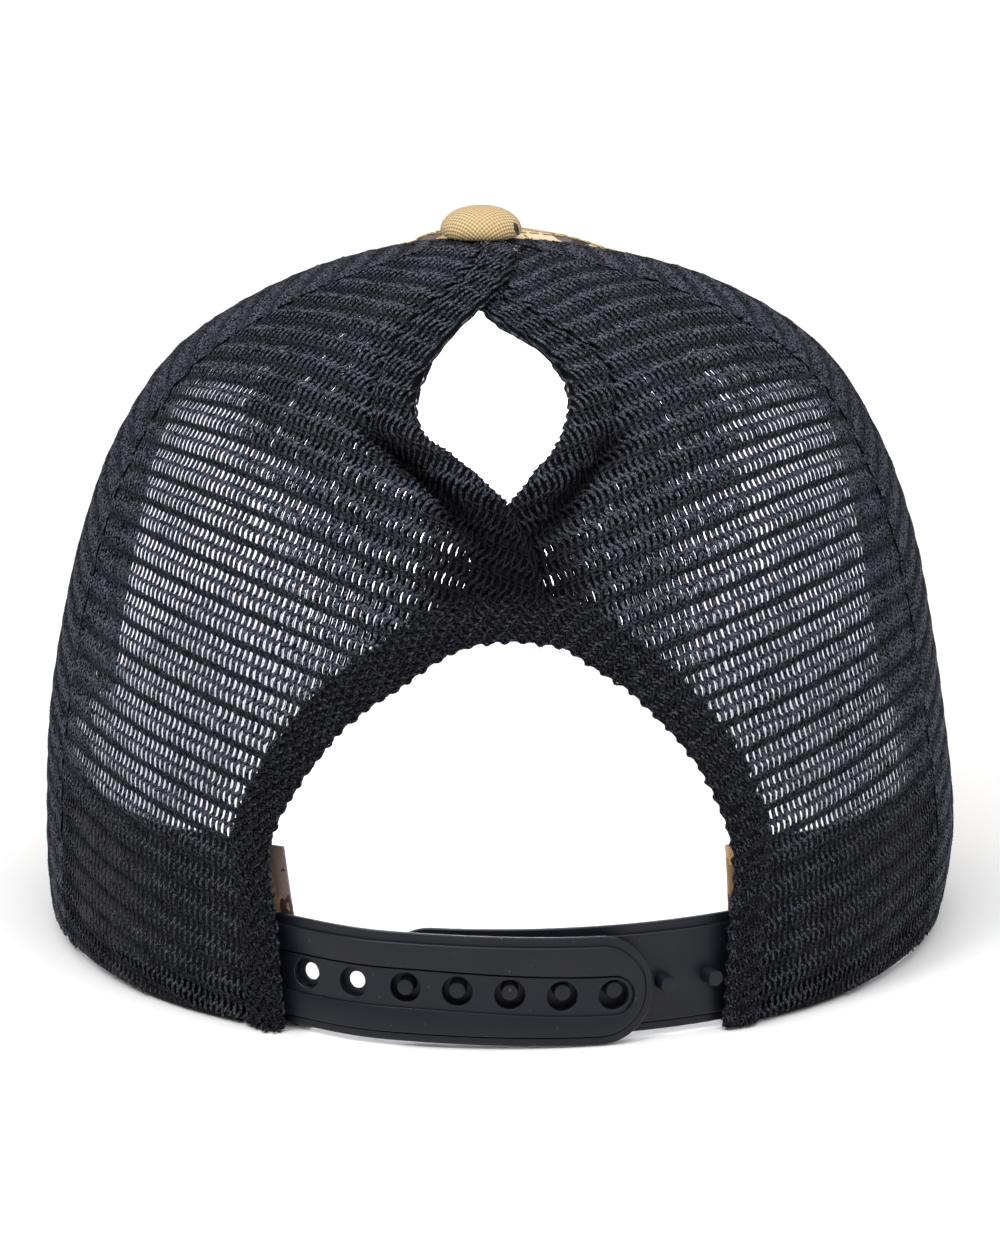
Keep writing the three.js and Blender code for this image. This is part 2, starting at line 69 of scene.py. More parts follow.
# Crown of the cap, each entry of a column one level from the hem to the top.
CROWN = {
    "height": (0, 10, 23, 43, 63, 83, 102.3, 119.9, 132.9, 140.7, 143.1),
    "left": (93.6, 94.8, 94.9, 94.0, 91.0, 86.3, 78.9, 66.2, 43.9, 18.5, 0),
    "right": (92.6, 94.8, 95.8, 93.6, 90.5, 86.3, 79.0, 67.1, 45.6, 18.5, 0),
    "back": (95.4, 96.4, 96.1, 93.8, 89.6, 83.2, 74.0, 60.2, 42.2, 20.2, 0),
    "front": (97.0, 97.6, 97.4, 96.2, 93.8, 89.4, 81.8, 69.4, 51.0, 26.0, 0),
}
CROWN_TOP = 143.1
TOP_LEAN = -3.5
LEAN_POWER = 24
AXIS = np.array((-0.4, -35.95, 0.0))
SIDE_SEAM = 71.0
FRONT_SEAM = 113.0
LAST_LEVEL = 0.98
SIDE_HEM_RISE = 1.3
HEM_RISE_FROM = 42
HEM_RISE_TO = 70

# Peak: rise of its underside in the middle, how it bends down sideways, and its outline seen from above.
PEAK_RISE = 32.0
PEAK_BEND = 240.0
PEAK_THICKNESS = 3.0
PEAK_REACH = 168.0
PEAK_HALF_WIDTH = 89.4
PEAK_SIDE_START = 40.0
PEAK_SQUARENESS = 2.35
PEAK_SPAN = 67
PEAK_SEAM_GAP = 0.6
HEM_OVER_PEAK = 0.6

# Free edges of the two back panels: sideways place at each height.
LEFT_EDGE = {
    "height": (71.3, 86.3, 96.3, 104.3, 108.3, 112.1, 114.7, 118.3, 122.3, 127.3, 131.3, 135.7, 139.3, 141.9),
    "x": (8.6, 9.2, 6.3, 1.4, -3.4, -8.6, -13.4, -15.8, -15.7, -13.3, -9.6, -3.6, 1.6, 3.4),
}
RIGHT_EDGE = {
    "height": (71.3, 86.3, 96.3, 104.3, 109.8, 112.3, 116.1, 120.3, 124.3, 128.3, 131.3, 135.1, 139.3, 141.9),
    "x": (-8.0, -7.6, -3.4, 2.2, 7.2, 10.2, 12.6, 13.9, 13.3, 10.8, 7.4, -0.4, -7.0, -9.0),
}

# Open edge of the arch, from its lower left end over the top to its lower right end.
ARCH_EDGE = {
    "x": (-42.3, -43.6, -44.4, -32.4, -19.0, -5.4, 10.6, 19.5, 27.6, 39.4, 46.0, 45.6, 44.6),
    "height": (0, 21.3, 39.3, 59.3, 70.3, 78.3, 78.3, 73.3, 67.3, 53.3, 37.3, 21.3, 0),
}
BINDING_SIDE_WIDTH = 6.6
BINDING_TOP_WIDTH = 8.8

# Lap of the back panels, the roll along the hole and the fold beyond it.
LAP = {-1: 1.1, 1: -1.4}
LAP_FULL_TO = 12.0
LAP_GONE_AT = 25.6
KNOT = (70, 84, 103, 112)
TOP_LAP = (124, 134)
BESIDE_HOLE = (101, 108, 122, 131)
ROLL_WIDTH = 9.0
ROLL_LIFT = 2.1
HEM_WIDTH = 9.0
HEM_GROOVE = 0.9
HEM_GROOVE_WIDTH = 0.9
HEM_GROOVE_UP = (84, 98)
HEM_FROM = 80.0
HEM_TURNED = 9.0
HEM_LOOSENESS = 2.2
EDGE_ROUND = 0.9
FOLD_START = 0.8 * ROLL_WIDTH
FOLD_WIDTH = 7.0
FOLD_HEIGHTS = (96, 103, 111, 121)
FOLD_DEPTH = {-1: 4.2, 1: 2.6}


def smooth(value, low, high):
    s = np.clip((np.asarray(value, float) - low) / (high - low), 0, 1)
    return s * s * (3 - 2 * s)


def stretch(value, start, full, easing, gone):
    return smooth(value, start, full) * (1 - smooth(value, easing, gone))


def through_knots(before, first, last, after, s):
    line = (last - before) * s
    bend = (2 * before - 5 * first + 4 * last - after) * s**2
    turn = (3 * first - before - 3 * last + after) * s**3
    return 0.5 * (2 * first + line + bend + turn)


def crown_size(key, level):
    """One of the crown's sizes at a level, 0 at the hem and 1 at the top."""
    column = np.array(CROWN[key], float)
    over_the_top = column[-2] if key == "height" else -column[-2]
    knots = np.concatenate(([2 * column[0] - column[1]], column, [over_the_top]))
    place = np.clip(level, 0, 1) * (len(column) - 1)
    i = np.minimum(np.floor(place).astype(int), len(column) - 2)
    return through_knots(knots[i], knots[i + 1], knots[i + 2], knots[i + 3], place - i)


def lean_at(height):
    """How far the crown leans sideways at a height."""
    return TOP_LEAN * (np.maximum(height, 0) / CROWN_TOP) ** LEAN_POWER


def crown_point(azimuth, level):
    """A point of the crown's outside. Azimuth is in degrees from the middle of the back, right positive."""
    azimuth, level = np.broadcast_arrays(azimuth, level)
    turn = np.radians(azimuth)
    height = crown_size("height", level)
    reach = np.where(np.cos(turn) > 0, crown_size("back", level), crown_size("front", level))
    half_width = np.where(np.sin(turn) > 0, crown_size("right", level), crown_size("left", level))
    return np.stack((half_width * np.sin(turn) + lean_at(height), -reach * np.cos(turn), height), -1)


def unit(vectors):
    return vectors / np.maximum(np.linalg.norm(vectors, axis=-1, keepdims=True), 1e-9)


# Small steps round and up the crown, from which its slopes are taken, and a level just short of the top.
TURN_STEP = 0.5
LEVEL_STEP = 0.004
HIGHEST_LEVEL = 0.995


def crown_normal(azimuth, level):
    along = crown_point(azimuth + TURN_STEP, level) - crown_point(azimuth - TURN_STEP, level)
    above = crown_point(azimuth, np.minimum(level + LEVEL_STEP, HIGHEST_LEVEL))
    below = crown_point(azimuth, np.maximum(level - LEVEL_STEP, 0))
    return unit(np.cross(along, above - below))


def lifted(azimuth, level, lift):
    """Points at a distance outside the crown's face, moved into the frame of the whole cap."""
    azimuth, level, lift = np.broadcast_arrays(azimuth, level, lift)
    return crown_point(azimuth, level) + crown_normal(azimuth, level) * lift[..., None] + AXIS


LEVEL_COUNT = 801
LEVELS = np.linspace(0, 1, LEVEL_COUNT)
HEIGHTS = crown_size("height", LEVELS)


def level_at(height):
    return np.interp(height, HEIGHTS, LEVELS)


# Sine of the widest angle from the middle of the back at which a sideways place is looked up.
WIDEST_SINE = 0.7


def azimuth_at(x, level):
    offset = x - lean_at(crown_size("height", level))
    half_width = np.where(offset > 0, crown_size("right", level), crown_size("left", level))
    return np.degrees(np.arcsin(np.clip(offset / half_width, -WIDEST_SINE, WIDEST_SINE)))


def edge_at(table, height):
    """Sideways place of a free edge at a height."""
    heights = np.array(table["height"], float)
    x = np.array(table["x"], float)
    last = len(x) - 1
    height = np.clip(height, heights[0], heights[-1])
    i = np.clip(np.searchsorted(heights, height, side="right") - 1, 0, last - 1)
    s = (height - heights[i]) / (heights[i + 1] - heights[i])
    return through_knots(x[np.maximum(i - 1, 0)], x[i], x[i + 1], x[np.minimum(i + 2, last)], s)


def peak_underside(x):
    return np.maximum(PEAK_RISE - x * x / PEAK_BEND, 0)


def hem_height(azimuth):
    from_back = np.abs((np.asarray(azimuth, float) + 180) % 360 - 180)
    side = SIDE_HEM_RISE * smooth(from_back, HEM_RISE_FROM, HEM_RISE_TO)
    rise = peak_underside(crown_point(azimuth, 0)[..., 0])
    front = np.maximum(rise + HEM_OVER_PEAK * np.minimum(rise / 2, 1), side)
    return np.where(from_back < 90, side, front)


def back_lift(side, from_edge, height):
    """How far a back panel stands off the crown: the lap, the roll along the hole and the fold beyond it."""
    near = 1 - smooth(from_edge, LAP_FULL_TO, LAP_GONE_AT)
    lap = LAP[side] * np.maximum(stretch(height, *KNOT), smooth(height, *TOP_LAP)) * near
    roll_place = np.clip(from_edge / ROLL_WIDTH, 0, 1)
    roll = ROLL_LIFT * np.sin(np.pi * np.sqrt(roll_place)) * stretch(height, *BESIDE_HOLE)
    fold_place = np.clip((from_edge - FOLD_START) / FOLD_WIDTH, 0, 1)
    fold = FOLD_DEPTH[side] * np.sin(np.pi * fold_place) ** 2 * stretch(height, *FOLD_HEIGHTS)
    groove_place = (from_edge - HEM_WIDTH) / HEM_GROOVE_WIDTH
    groove = HEM_GROOVE * np.exp(-(groove_place**2)) * smooth(height, *HEM_GROOVE_UP)
    return lap + roll - fold - groove


SIDES = ((-1, "left"), (1, "right"))
EDGES = {-1: LEFT_EDGE, 1: RIGHT_EDGE}
# Least reach for turning a distance into an angle, because the crown's own comes to nothing at the top.
LEAST_BACK = 8


def from_free_edge(side, azimuth, level):
    """Distance round the crown from a back panel's free edge, positive on the panel."""
    height = crown_size("height", level)
    edge = azimuth_at(edge_at(EDGES[side], height), level)
    return np.radians(azimuth - edge) * side * crown_size("back", level)


def back_point(side, azimuth, level, extra=0.0):
    """A point of a back panel's face. Short of the free edge the cloth turns under and runs back inside."""
    from_edge = from_free_edge(side, azimuth, level)
    rolled = (EDGE_ROUND - from_edge) / EDGE_ROUND
    turned = np.clip(rolled, 0, math.pi)
    under = 2 * np.maximum(rolled - math.pi, 0)
    back = np.maximum(crown_size("back", level), LEAST_BACK)
    azimuth = azimuth + side * np.degrees(EDGE_ROUND * (turned - np.sin(turned) + under) / back)
    far = np.maximum(np.where(under > 0, from_edge + EDGE_ROUND * (turned + under), from_edge), 0)
    lift = back_lift(side, far, crown_size("height", level)) - EDGE_ROUND * (1 - np.cos(turned))
    return lifted(azimuth, level, lift + extra)


def run_along(points):
    """Distance along a line of points."""
    return np.concatenate(([0], np.cumsum(np.linalg.norm(np.diff(points, axis=0), axis=1))))


ARCH_FINENESS = 40


def arch_outline(margin, steps):
    """The arch in the upright plane across the cap: its open edge, or the sewn edge when margin is 1."""
    x = np.array(ARCH_EDGE["x"], float)
    height = np.array(ARCH_EDGE["height"], float)
    knots = np.stack((x, height), -1)
    knots = np.concatenate(([2 * knots[0] - knots[1]], knots, [2 * knots[-1] - knots[-2]]))
    fine = []
    for i in range(len(x) - 1):
        s = np.linspace(0, 1, ARCH_FINENESS, endpoint=False)[:, None]
        fine.append(through_knots(knots[i], knots[i + 1], knots[i + 2], knots[i + 3], s))
    fine = np.concatenate((*fine, [knots[-2]]))
    run = run_along(fine)
    along = np.linspace(0, run[-1], steps + 1)
    spot = np.stack([np.interp(along, run, fine[:, k]) for k in (0, 1)], -1)
    tangent = unit(np.gradient(spot, axis=0))
    towards_top = np.sin(np.linspace(0, np.pi, steps + 1)) ** 2
    width = BINDING_SIDE_WIDTH + (BINDING_TOP_WIDTH - BINDING_SIDE_WIDTH) * towards_top
    return spot + np.stack((-tangent[:, 1], tangent[:, 0]), -1) * (margin * width)[:, None]


FAR_BELOW = -50.0


def inside_outline(x, height, outline):
    """Which points lie under an outline that runs from left to right over the arch."""
    ring = np.concatenate((outline, [(outline[-1, 0], FAR_BELOW), (outline[0, 0], FAR_BELOW)]))
    odd = np.zeros(np.shape(x), bool)
    for (x0, z0), (x1, z1) in zip(ring, np.roll(ring, -1, axis=0)):
        crosses = (z0 > height) != (z1 > height)
        with np.errstate(divide="ignore", invalid="ignore"):
            at = x0 + (height - z0) / (z1 - z0) * (x1 - x0)
        odd ^= crosses & (x < at)
    return odd


# Meshes

def link(name, data):
    piece = bpy.data.objects.new(name, data)
    bpy.context.scene.collection.objects.link(piece)
    return piece


def mesh_of(name, points, faces, edges=()):
    """A mesh from points in millimetres."""
    mesh = bpy.data.meshes.new(name)
    mesh.from_pydata((np.asarray(points, float).reshape(-1, 3) * MM).tolist(), list(edges), list(faces))
    mesh.validate()
    return mesh


OUTER, INNER, RIM = 0, 1, 2


def wall(name, outside, inside, materials):
    """A closed wall between two grids of points, with its materials outside, inside and round the rim."""
    rows, columns = outside.shape[:2]
    size = rows * columns
    points = np.concatenate((outside.reshape(-1, 3), inside.reshape(-1, 3)))
    at = lambda j, i: j * columns + i
    faces, kinds = [], []

    def quad(kind, *corners):
        faces.append(corners)
        kinds.append(kind)

    for j in range(rows - 1):
        for i in range(columns - 1):
            a, b, c, d = at(j, i), at(j, i + 1), at(j + 1, i + 1), at(j + 1, i)
            quad(OUTER, a, b, c, d)
            quad(INNER, a + size, d + size, c + size, b + size)
        a, d = at(j, 0), at(j + 1, 0)
        quad(RIM, a, d, d + size, a + size)
        b, c = at(j, columns - 1), at(j + 1, columns - 1)
        quad(RIM, b, b + size, c + size, c)
    for i in range(columns - 1):
        a, b = at(0, i), at(0, i + 1)
        quad(RIM, a, a + size, b + size, b)
        d, c = at(rows - 1, i), at(rows - 1, i + 1)
        quad(RIM, d, c, c + size, d + size)
    mesh = mesh_of(name, points, faces)
    for material in materials:
        mesh.materials.append(material)
    count = len(materials)
    mesh.polygons.foreach_set("material_index", [min(kind, count - 1) for kind in kinds])
    mesh.polygons.foreach_set("use_smooth", [True] * len(mesh.polygons))
    layer = mesh.uv_layers.new(name="cloth")
    run = np.linalg.norm(np.diff(outside, axis=1), axis=-1)
    rise = np.linalg.norm(np.diff(outside, axis=0), axis=-1)
    across = np.concatenate((np.zeros((rows, 1)), np.cumsum(run, axis=1)), axis=1)
    across -= across[:, columns // 2:columns // 2 + 1]
    up = np.concatenate((np.zeros((1, columns)), np.cumsum(rise, axis=0)))
    flat = np.stack((across, up), -1).reshape(-1, 2)
    flat = np.concatenate((flat, flat))
    corner_vertex = np.empty(len(mesh.loops), int)
    mesh.loops.foreach_get("vertex_index", corner_vertex)
    layer.data.foreach_set("uv", (flat[corner_vertex] * MM).ravel())
    return mesh


def outward(mesh):
    """Turns a closed mesh's faces outwards."""
    points = np.array([v.co for v in mesh.vertices])
    volume = 0.0
    for face in mesh.polygons:
        corners = points[list(face.vertices)]
        for k in range(1, len(corners) - 1):
            volume += np.dot(corners[0], np.cross(corners[k], corners[k + 1]))
    if volume < 0:
        mesh.flip_normals()
    return mesh


# Node trees

class Nodes:
    """Adds nodes to a tree. The methods for sums give back the output of what they add."""

    def __init__(self, tree):
        self.tree = tree

    def put(self, socket, value):
        if isinstance(value, bpy.types.NodeSocket):
            self.tree.links.new(value, socket)
        else:
            socket.default_value = value

    def node(self, kind, sockets=None, **settings):
        node = self.tree.nodes.new(kind)
        for key, value in settings.items():
            setattr(node, key, value)
        for key, value in (sockets or {}).items():
            self.put(node.inputs[key], value)
        return node

    def maths(self, operation, *values):
        return self.node("ShaderNodeMath", dict(enumerate(values)), operation=operation).outputs[0]

    def plus(self, first, second):
        return self.maths("ADD", first, second)

    def minus(self, first, second):
        return self.maths("SUBTRACT", first, second)

    def times(self, first, second):
        return self.maths("MULTIPLY", first, second)

    def added(self, first, second):
        return self.node("ShaderNodeVectorMath", {0: first, 1: second}, operation="ADD").outputs[0]

    def scaled(self, vector, scale):
        return self.node("ShaderNodeVectorMath", {0: vector, "Scale": scale}, operation="SCALE").outputs[0]


SOCKET_KINDS = {float: "Float", int: "Int", bpy.types.Material: "Material"}


class Tree(Nodes):
    """A geometry node tree, with a named input for each entry of a table of values."""

    def __init__(self, name, values):
        super().__init__(bpy.data.node_groups.new(name, "GeometryNodeTree"))
        face = self.tree.interface
        face.new_socket("Geometry", in_out="INPUT", socket_type="NodeSocketGeometry")
        for label, value in values.items():
            kind = "NodeSocket" + SOCKET_KINDS[type(value)]
            face.new_socket(label, in_out="INPUT", socket_type=kind).default_value = value
        face.new_socket("Geometry", in_out="OUTPUT", socket_type="NodeSocketGeometry")
        self.start = self.node("NodeGroupInput")
        self.end = self.node("NodeGroupOutput")

    def __getitem__(self, label):
        return self.start.outputs[label]

    def attribute(self, name, kind="FLOAT"):
        node = self.node("GeometryNodeInputNamedAttribute", {"Name": name}, data_type=kind)
        return node.outputs["Attribute"]

    def eased(self, value, low, high):
        sockets = {"Value": value, "From Min": low, "From Max": high}
        return self.node("ShaderNodeMapRange", sockets, interpolation_type="SMOOTHSTEP").outputs["Result"]

    def swept(self, curve, sides, radius, scale):
        """A smooth tube along a curve."""
        ring = self.node("GeometryNodeCurvePrimitiveCircle", {"Resolution": sides, "Radius": radius})
        sweep = {"Curve": curve, "Profile Curve": ring.outputs[0], "Scale": scale, "Fill Caps": True}
        tube = self.node("GeometryNodeCurveToMesh", sweep)
        return self.node("GeometryNodeSetShadeSmooth", {"Geometry": tube.outputs[0]}).outputs[0]

    def finish(self, geometry, material):
        real = self.node("GeometryNodeRealizeInstances", {"Geometry": geometry})
        coat = self.node("GeometryNodeSetMaterial", {"Geometry": real.outputs[0], "Material": material})
        self.put(self.end.inputs[0], coat.outputs[0])
        return self.tree


def grown(name, guides, tree, values):
    """Runs a node tree over guide lines and gives the result back as a plain mesh."""
    piece = link(name, guides)
    modifier = piece.modifiers.new("grow", "NODES")
    modifier.node_group = tree
    for socket in tree.interface.items_tree:
        if socket.in_out == "INPUT" and socket.name in values:
            modifier[socket.identifier] = values[socket.name]
    seen = piece.evaluated_get(bpy.context.evaluated_depsgraph_get())
    mesh = bpy.data.meshes.new_from_object(seen)
    piece.modifiers.clear()
    bpy.data.objects.remove(piece)
    mesh.name = name
    return mesh


def guide_mesh(name, runs, columns):
    """Guide lines as edges, with what each point carries: a number or a vector for each column."""
    points = np.concatenate([run["point"] for run in runs])
    edges = []
    start = 0
    for run in runs:
        count = len(run["point"])
        edges += [(start + k, start + k + 1) for k in range(count - 1)]
        start += count
    mesh = mesh_of(name, points, (), edges)
    for label in columns:
        data = np.concatenate([run[label] for run in runs]).astype(float)
        kind = "FLOAT_VECTOR" if data.ndim == 2 else "FLOAT"
        layer = mesh.attributes.new(label, kind, "POINT")
        layer.data.foreach_set("vector" if data.ndim == 2 else "value", data.ravel())
    return mesh


TAU = 2 * math.pi
# Shares of one period of the knit: where the strands sway, crowd together and stand highest, and where the
# crossing ones go over to the next wale and come back.
SWAY_AT = 0.45
BAND_AT = 0.4
HILL_AT = 0.42
GOING_OVER = (0.28, 0.44)
COMING_BACK = (0.79, 0.92)
# A product of two eased shares is at most a quarter.
FULL_BUMP = 4.0


def strand_tree():
    """Knit strands: each guide line sways, crosses to its neighbour and back, rises and falls."""
    tree = Tree("knit_strands", KNIT_VALUES)
    turn = tree.maths("FRACT", tree.attribute("turn"))
    shift = tree.attribute("shift")
    delay = tree.attribute("delay")
    theta = tree.times(tree.minus(turn, SWAY_AT), TAU)
    second = tree.times(tree.maths("SINE", tree.times(theta, 2.0)), tree["Skew"])
    wave = tree.minus(tree.maths("SINE", theta), second)
    over = tree.eased(turn, *(tree.plus(delay, share) for share in GOING_OVER))
    back = tree.eased(turn, *(tree.plus(delay, share) for share in COMING_BACK))
    cross = tree.times(tree.minus(over, back), tree.times(shift, tree["Pitch"]))
    lateral = tree.plus(tree.times(wave, tree["Sway"]), cross)
    wave_of_bands = tree.maths("COSINE", tree.times(tree.minus(turn, BAND_AT), 2 * TAU))
    band = tree.maths("MAXIMUM", wave_of_bands, 0.0)
    spread = tree.plus(1.0, tree.times(band, tree["Spread"]))
    lateral = tree.plus(lateral, tree.times(tree.attribute("aside"), spread))
    lateral = tree.times(lateral, tree.attribute("slant"))
    bumps = [tree.times(eased, tree.minus(1.0, eased)) for eased in (over, back)]
    crossing = tree.times(tree.minus(*bumps), shift)
    crossing = tree.times(crossing, tree.times(tree["Over And Under"], FULL_BUMP))
    hill = tree.maths("COSINE", tree.times(tree.minus(turn, HILL_AT), TAU))
    lift = tree.plus(tree.times(hill, tree["Relief"]), crossing)
    curve = tree.node("GeometryNodeMeshToCurve", {"Mesh": tree["Geometry"]})
    noise = tree.node("ShaderNodeTexNoise", {"Scale": tree["Grain"], "Detail": 1.0})
    loose = tree.added(noise.outputs["Color"], (-0.5, -0.5, -0.5))
    loose = tree.scaled(loose, tree.times(tree["Looseness"], tree.attribute("loose")))
    offset = tree.scaled(tree.attribute("across", "FLOAT_VECTOR"), lateral)
    offset = tree.added(offset, tree.scaled(tree.attribute("out", "FLOAT_VECTOR"), lift))
    offset = tree.added(offset, loose)
    moved = tree.node("GeometryNodeSetPosition", {"Geometry": curve.outputs[0], "Offset": offset})
    full = tree.plus(1.0, tree.times(band, tree["Fullness"]))
    thick = tree.times(tree.attribute("thick"), full)
    swept = tree.swept(moved.outputs[0], tree["Sides"], tree["Strand Radius"], thick)
    return tree.finish(swept, tree["Yarn"])


# Materials

BLACK = (0, 0, 0)
WHITE = (1, 1, 1)


def grey(value):
    return (value, value, value)


class Finish(Nodes):
    """A material built from nodes round one principled shader."""

    def __init__(self, name, roughness, specular, sheen=0.0):
        self.material = bpy.data.materials.new(name)
        self.material.use_nodes = True
        super().__init__(self.material.node_tree)
        self.body = self.tree.nodes["Principled BSDF"]
        self.body.inputs["Roughness"].default_value = roughness
        self.body.inputs["Specular IOR Level"].default_value = specular
        self.body.inputs["Sheen Weight"].default_value = sheen
        self.place = self.node("ShaderNodeTexCoord").outputs["Object"]

    def noise(self, scale, detail, vector=None, colour=False):
        sockets = {"Vector": vector or self.place, "Scale": scale, "Detail": detail}
        return self.node("ShaderNodeTexNoise", sockets).outputs["Color" if colour else "Fac"]

    def ramp(self, value, stops, hard=False):
        node = self.node("ShaderNodeValToRGB", {"Fac": value})
        ramp = node.color_ramp
        ramp.interpolation = "CONSTANT" if hard else "LINEAR"
        while len(ramp.elements) < len(stops):
            ramp.elements.new(0.5)
        for element, (place, colour) in zip(ramp.elements, stops):
            element.position = place
            element.color = (*colour, 1)
        return node.outputs["Color"]

    def mix(self, share, first, second, blend="MIX"):
        node = self.node("ShaderNodeMix", data_type="RGBA", blend_type=blend)
        for k, value in ((0, share), (6, first), (7, second)):
            self.put(node.inputs[k], (*value, 1) if isinstance(value, tuple) else value)
        return node.outputs[2]

    def bump(self, height, distance, strength):
        sockets = {"Height": height, "Distance": distance * MM, "Strength": strength}
        self.put(self.body.inputs["Normal"], self.node("ShaderNodeBump", sockets).outputs["Normal"])

    def colour(self, value):
        self.put(self.body.inputs["Base Color"], (*value, 1) if isinstance(value, tuple) else value)

    def cloth(self):
        """Places round and up on the piece's own cloth map."""
        spot = self.node("ShaderNodeUVMap", uv_map="cloth").outputs["UV"]
        return self.node("ShaderNodeSeparateXYZ", {0: spot}).outputs[:2]

    def ribs(self, place, pitch):
        return self.maths("SINE", self.times(place, TAU / (pitch * MM)))

    def height(self, wave):
        """A wave between -1 and 1 as a height between 0 and 1."""
        return self.plus(self.times(wave, 0.5), 0.5)

    def weave(self, pitch):
        """Height of a plain weave."""
        along, up = self.cloth()
        return self.height(self.times(self.ribs(along, pitch), self.ribs(up, pitch)))

    def twill(self, pitch, lean):
        """Height of fine slanted ribs."""
        along, up = self.cloth()
        return self.height(self.ribs(self.plus(along, self.times(up, lean)), pitch))


def yarn_finish(name, dark, lit, shaded=False):
    """Spun yarn with dark and lit fibres: its colour is painted at random between a dark shade and lit
    specks, which are painted glints. A shaded yarn is darkened further by the tone that its strands carry,
    which is painted shade.
    """
    finish = Finish(name, roughness=0.42, specular=0.05)
    fibres = finish.noise(scale=2300, detail=2)
    # Painted glints: random lit specks over the dark shade colour.
    colour = finish.ramp(fibres, ((0.42, dark), (0.62, lit)))
    if shaded:
        # Painted shade: the strands' tone darkens the yarn towards its dark colour.
        tone = finish.node("ShaderNodeAttribute", attribute_name="tone").outputs["Fac"]
        colour = finish.mix(tone, dark, colour)
    finish.colour(colour)
    finish.bump(fibres, distance=0.16, strength=0.8)
    return finish.material


TAN_CLOTH = (0.58, 0.40, 0.19)
CREAM = (0.80, 0.63, 0.42)
MAUVE_BROWN = (0.15, 0.105, 0.095)
MID_BROWN = (0.30, 0.175, 0.075)
DARK_BROWN = (0.026, 0.014, 0.010)
KHAKI = (0.33, 0.26, 0.13)


# Ground of the print: scale, seed and stretch of its noise, and the noise from which each colour starts.
GROUND = (34, 1.0, (1, 1, 1.4))
GROUND_COLOURS = ((0.0, KHAKI), (0.40, TAN_CLOTH), (0.58, CREAM))
# Blots on it: scale, seed, stretch, noise up to which there is no blot, and colour.
BROWN_BLOTS = (
    (46, 2.3, (1, 1.6, 1), 0.56, MAUVE_BROWN),
    (62, 3.1, (1.8, 1, 0.9), 0.60, MID_BROWN),
)
DARK_BLOTS = (70, 6.4, (1, 2.6, 1), 0.64, DARK_BROWN)
BLOT_DETAIL = 3
# Twigs: scale, seed, width and stretch of their cells, and the coarser noise up to which they are left out.
TWIGS = (38, 4.2, 0.045, (1, 2.2, 1))
TWIG_GAPS = (30, 5.2, (1, 1, 1), 2)
TWIG_GAPS_TO = 0.52
PRINT_DRIFT = 0.016


def print_finish():
    """Twill with a generic print of dry leaves and twigs: blots within blots, twigs and veins."""
    finish = Finish("printed_twill", roughness=0.88, specular=0.25, sheen=0.15)
    drift = finish.scaled(finish.noise(scale=55, detail=3, colour=True), PRINT_DRIFT)
    bent = finish.added(finish.place, drift)

    def turned(location, rotation, stretch_by):
        sockets = {"Vector": bent, "Location": location, "Rotation": rotation, "Scale": stretch_by}
        return finish.node("ShaderNodeMapping", sockets).outputs[0]

    def blots(scale, seed, stretch_by, detail=BLOT_DETAIL):
        place = turned((seed, seed * 0.7, seed * 1.3), (seed, 0.4 * seed, seed * 2.1), stretch_by)
        return finish.noise(scale, detail, place)

    def blotted(colour, scale, seed, stretch_by, clear, stain):
        patch = finish.ramp(blots(scale, seed, stretch_by), ((0, BLACK), (clear, WHITE)), True)
        return finish.mix(patch, colour, stain)

    def twigs(scale, seed, width, stretch_by):
        place = turned((seed, seed, seed), (seed, seed * 1.9, 0.6), stretch_by)
        sockets = {"Vector": place, "Scale": scale}
        cells = finish.node("ShaderNodeTexVoronoi", sockets, feature="DISTANCE_TO_EDGE")
        return finish.ramp(cells.outputs["Distance"], ((0, WHITE), (width, BLACK)), True)

    colour = finish.ramp(blots(*GROUND), GROUND_COLOURS, True)
    for layer in BROWN_BLOTS:
        colour = blotted(colour, *layer)
    gaps = finish.ramp(blots(*TWIG_GAPS), ((0, BLACK), (TWIG_GAPS_TO, WHITE)), True)
    thin = finish.mix(1.0, twigs(*TWIGS), gaps, "MULTIPLY")
    colour = finish.mix(thin, colour, DARK_BROWN)
    colour = blotted(colour, *DARK_BLOTS)
    ribs = finish.twill(pitch=0.62, lean=0.8)
    shade = finish.ramp(ribs, ((0, grey(0.8)), (1, grey(1.08))))
    finish.colour(finish.mix(0.7, colour, shade, "MULTIPLY"))
    finish.bump(ribs, distance=0.08, strength=0.6)
    return finish.material


def woven_finish(name, colour, pitch, depth, variation):
    """Plain weave whose colour varies between its threads and fades a little in places."""
    finish = Finish(name, roughness=0.85, specular=0.3, sheen=0.2)
    threads = finish.weave(pitch)
    low = tuple(c * (1 - variation) for c in colour)
    high = tuple(min(c * (1 + variation), 1) for c in colour)
    fade = finish.noise(scale=180, detail=3)
    tone = finish.ramp(fade, ((0.3, grey(0.88)), (0.7, grey(1.05))))
    finish.colour(finish.mix(1.0, finish.ramp(threads, ((0.1, low), (0.9, high))), tone, "MULTIPLY"))
    finish.bump(threads, depth, strength=0.8)
    return finish.material


BUTTON_PITCH = 1.1
BUTTON_SPOT = (3.9, -3.7, 145.6)
BUTTON_SPOT_RADIUS = 1.25
BUTTON_SPOT_WANDER = 2.0


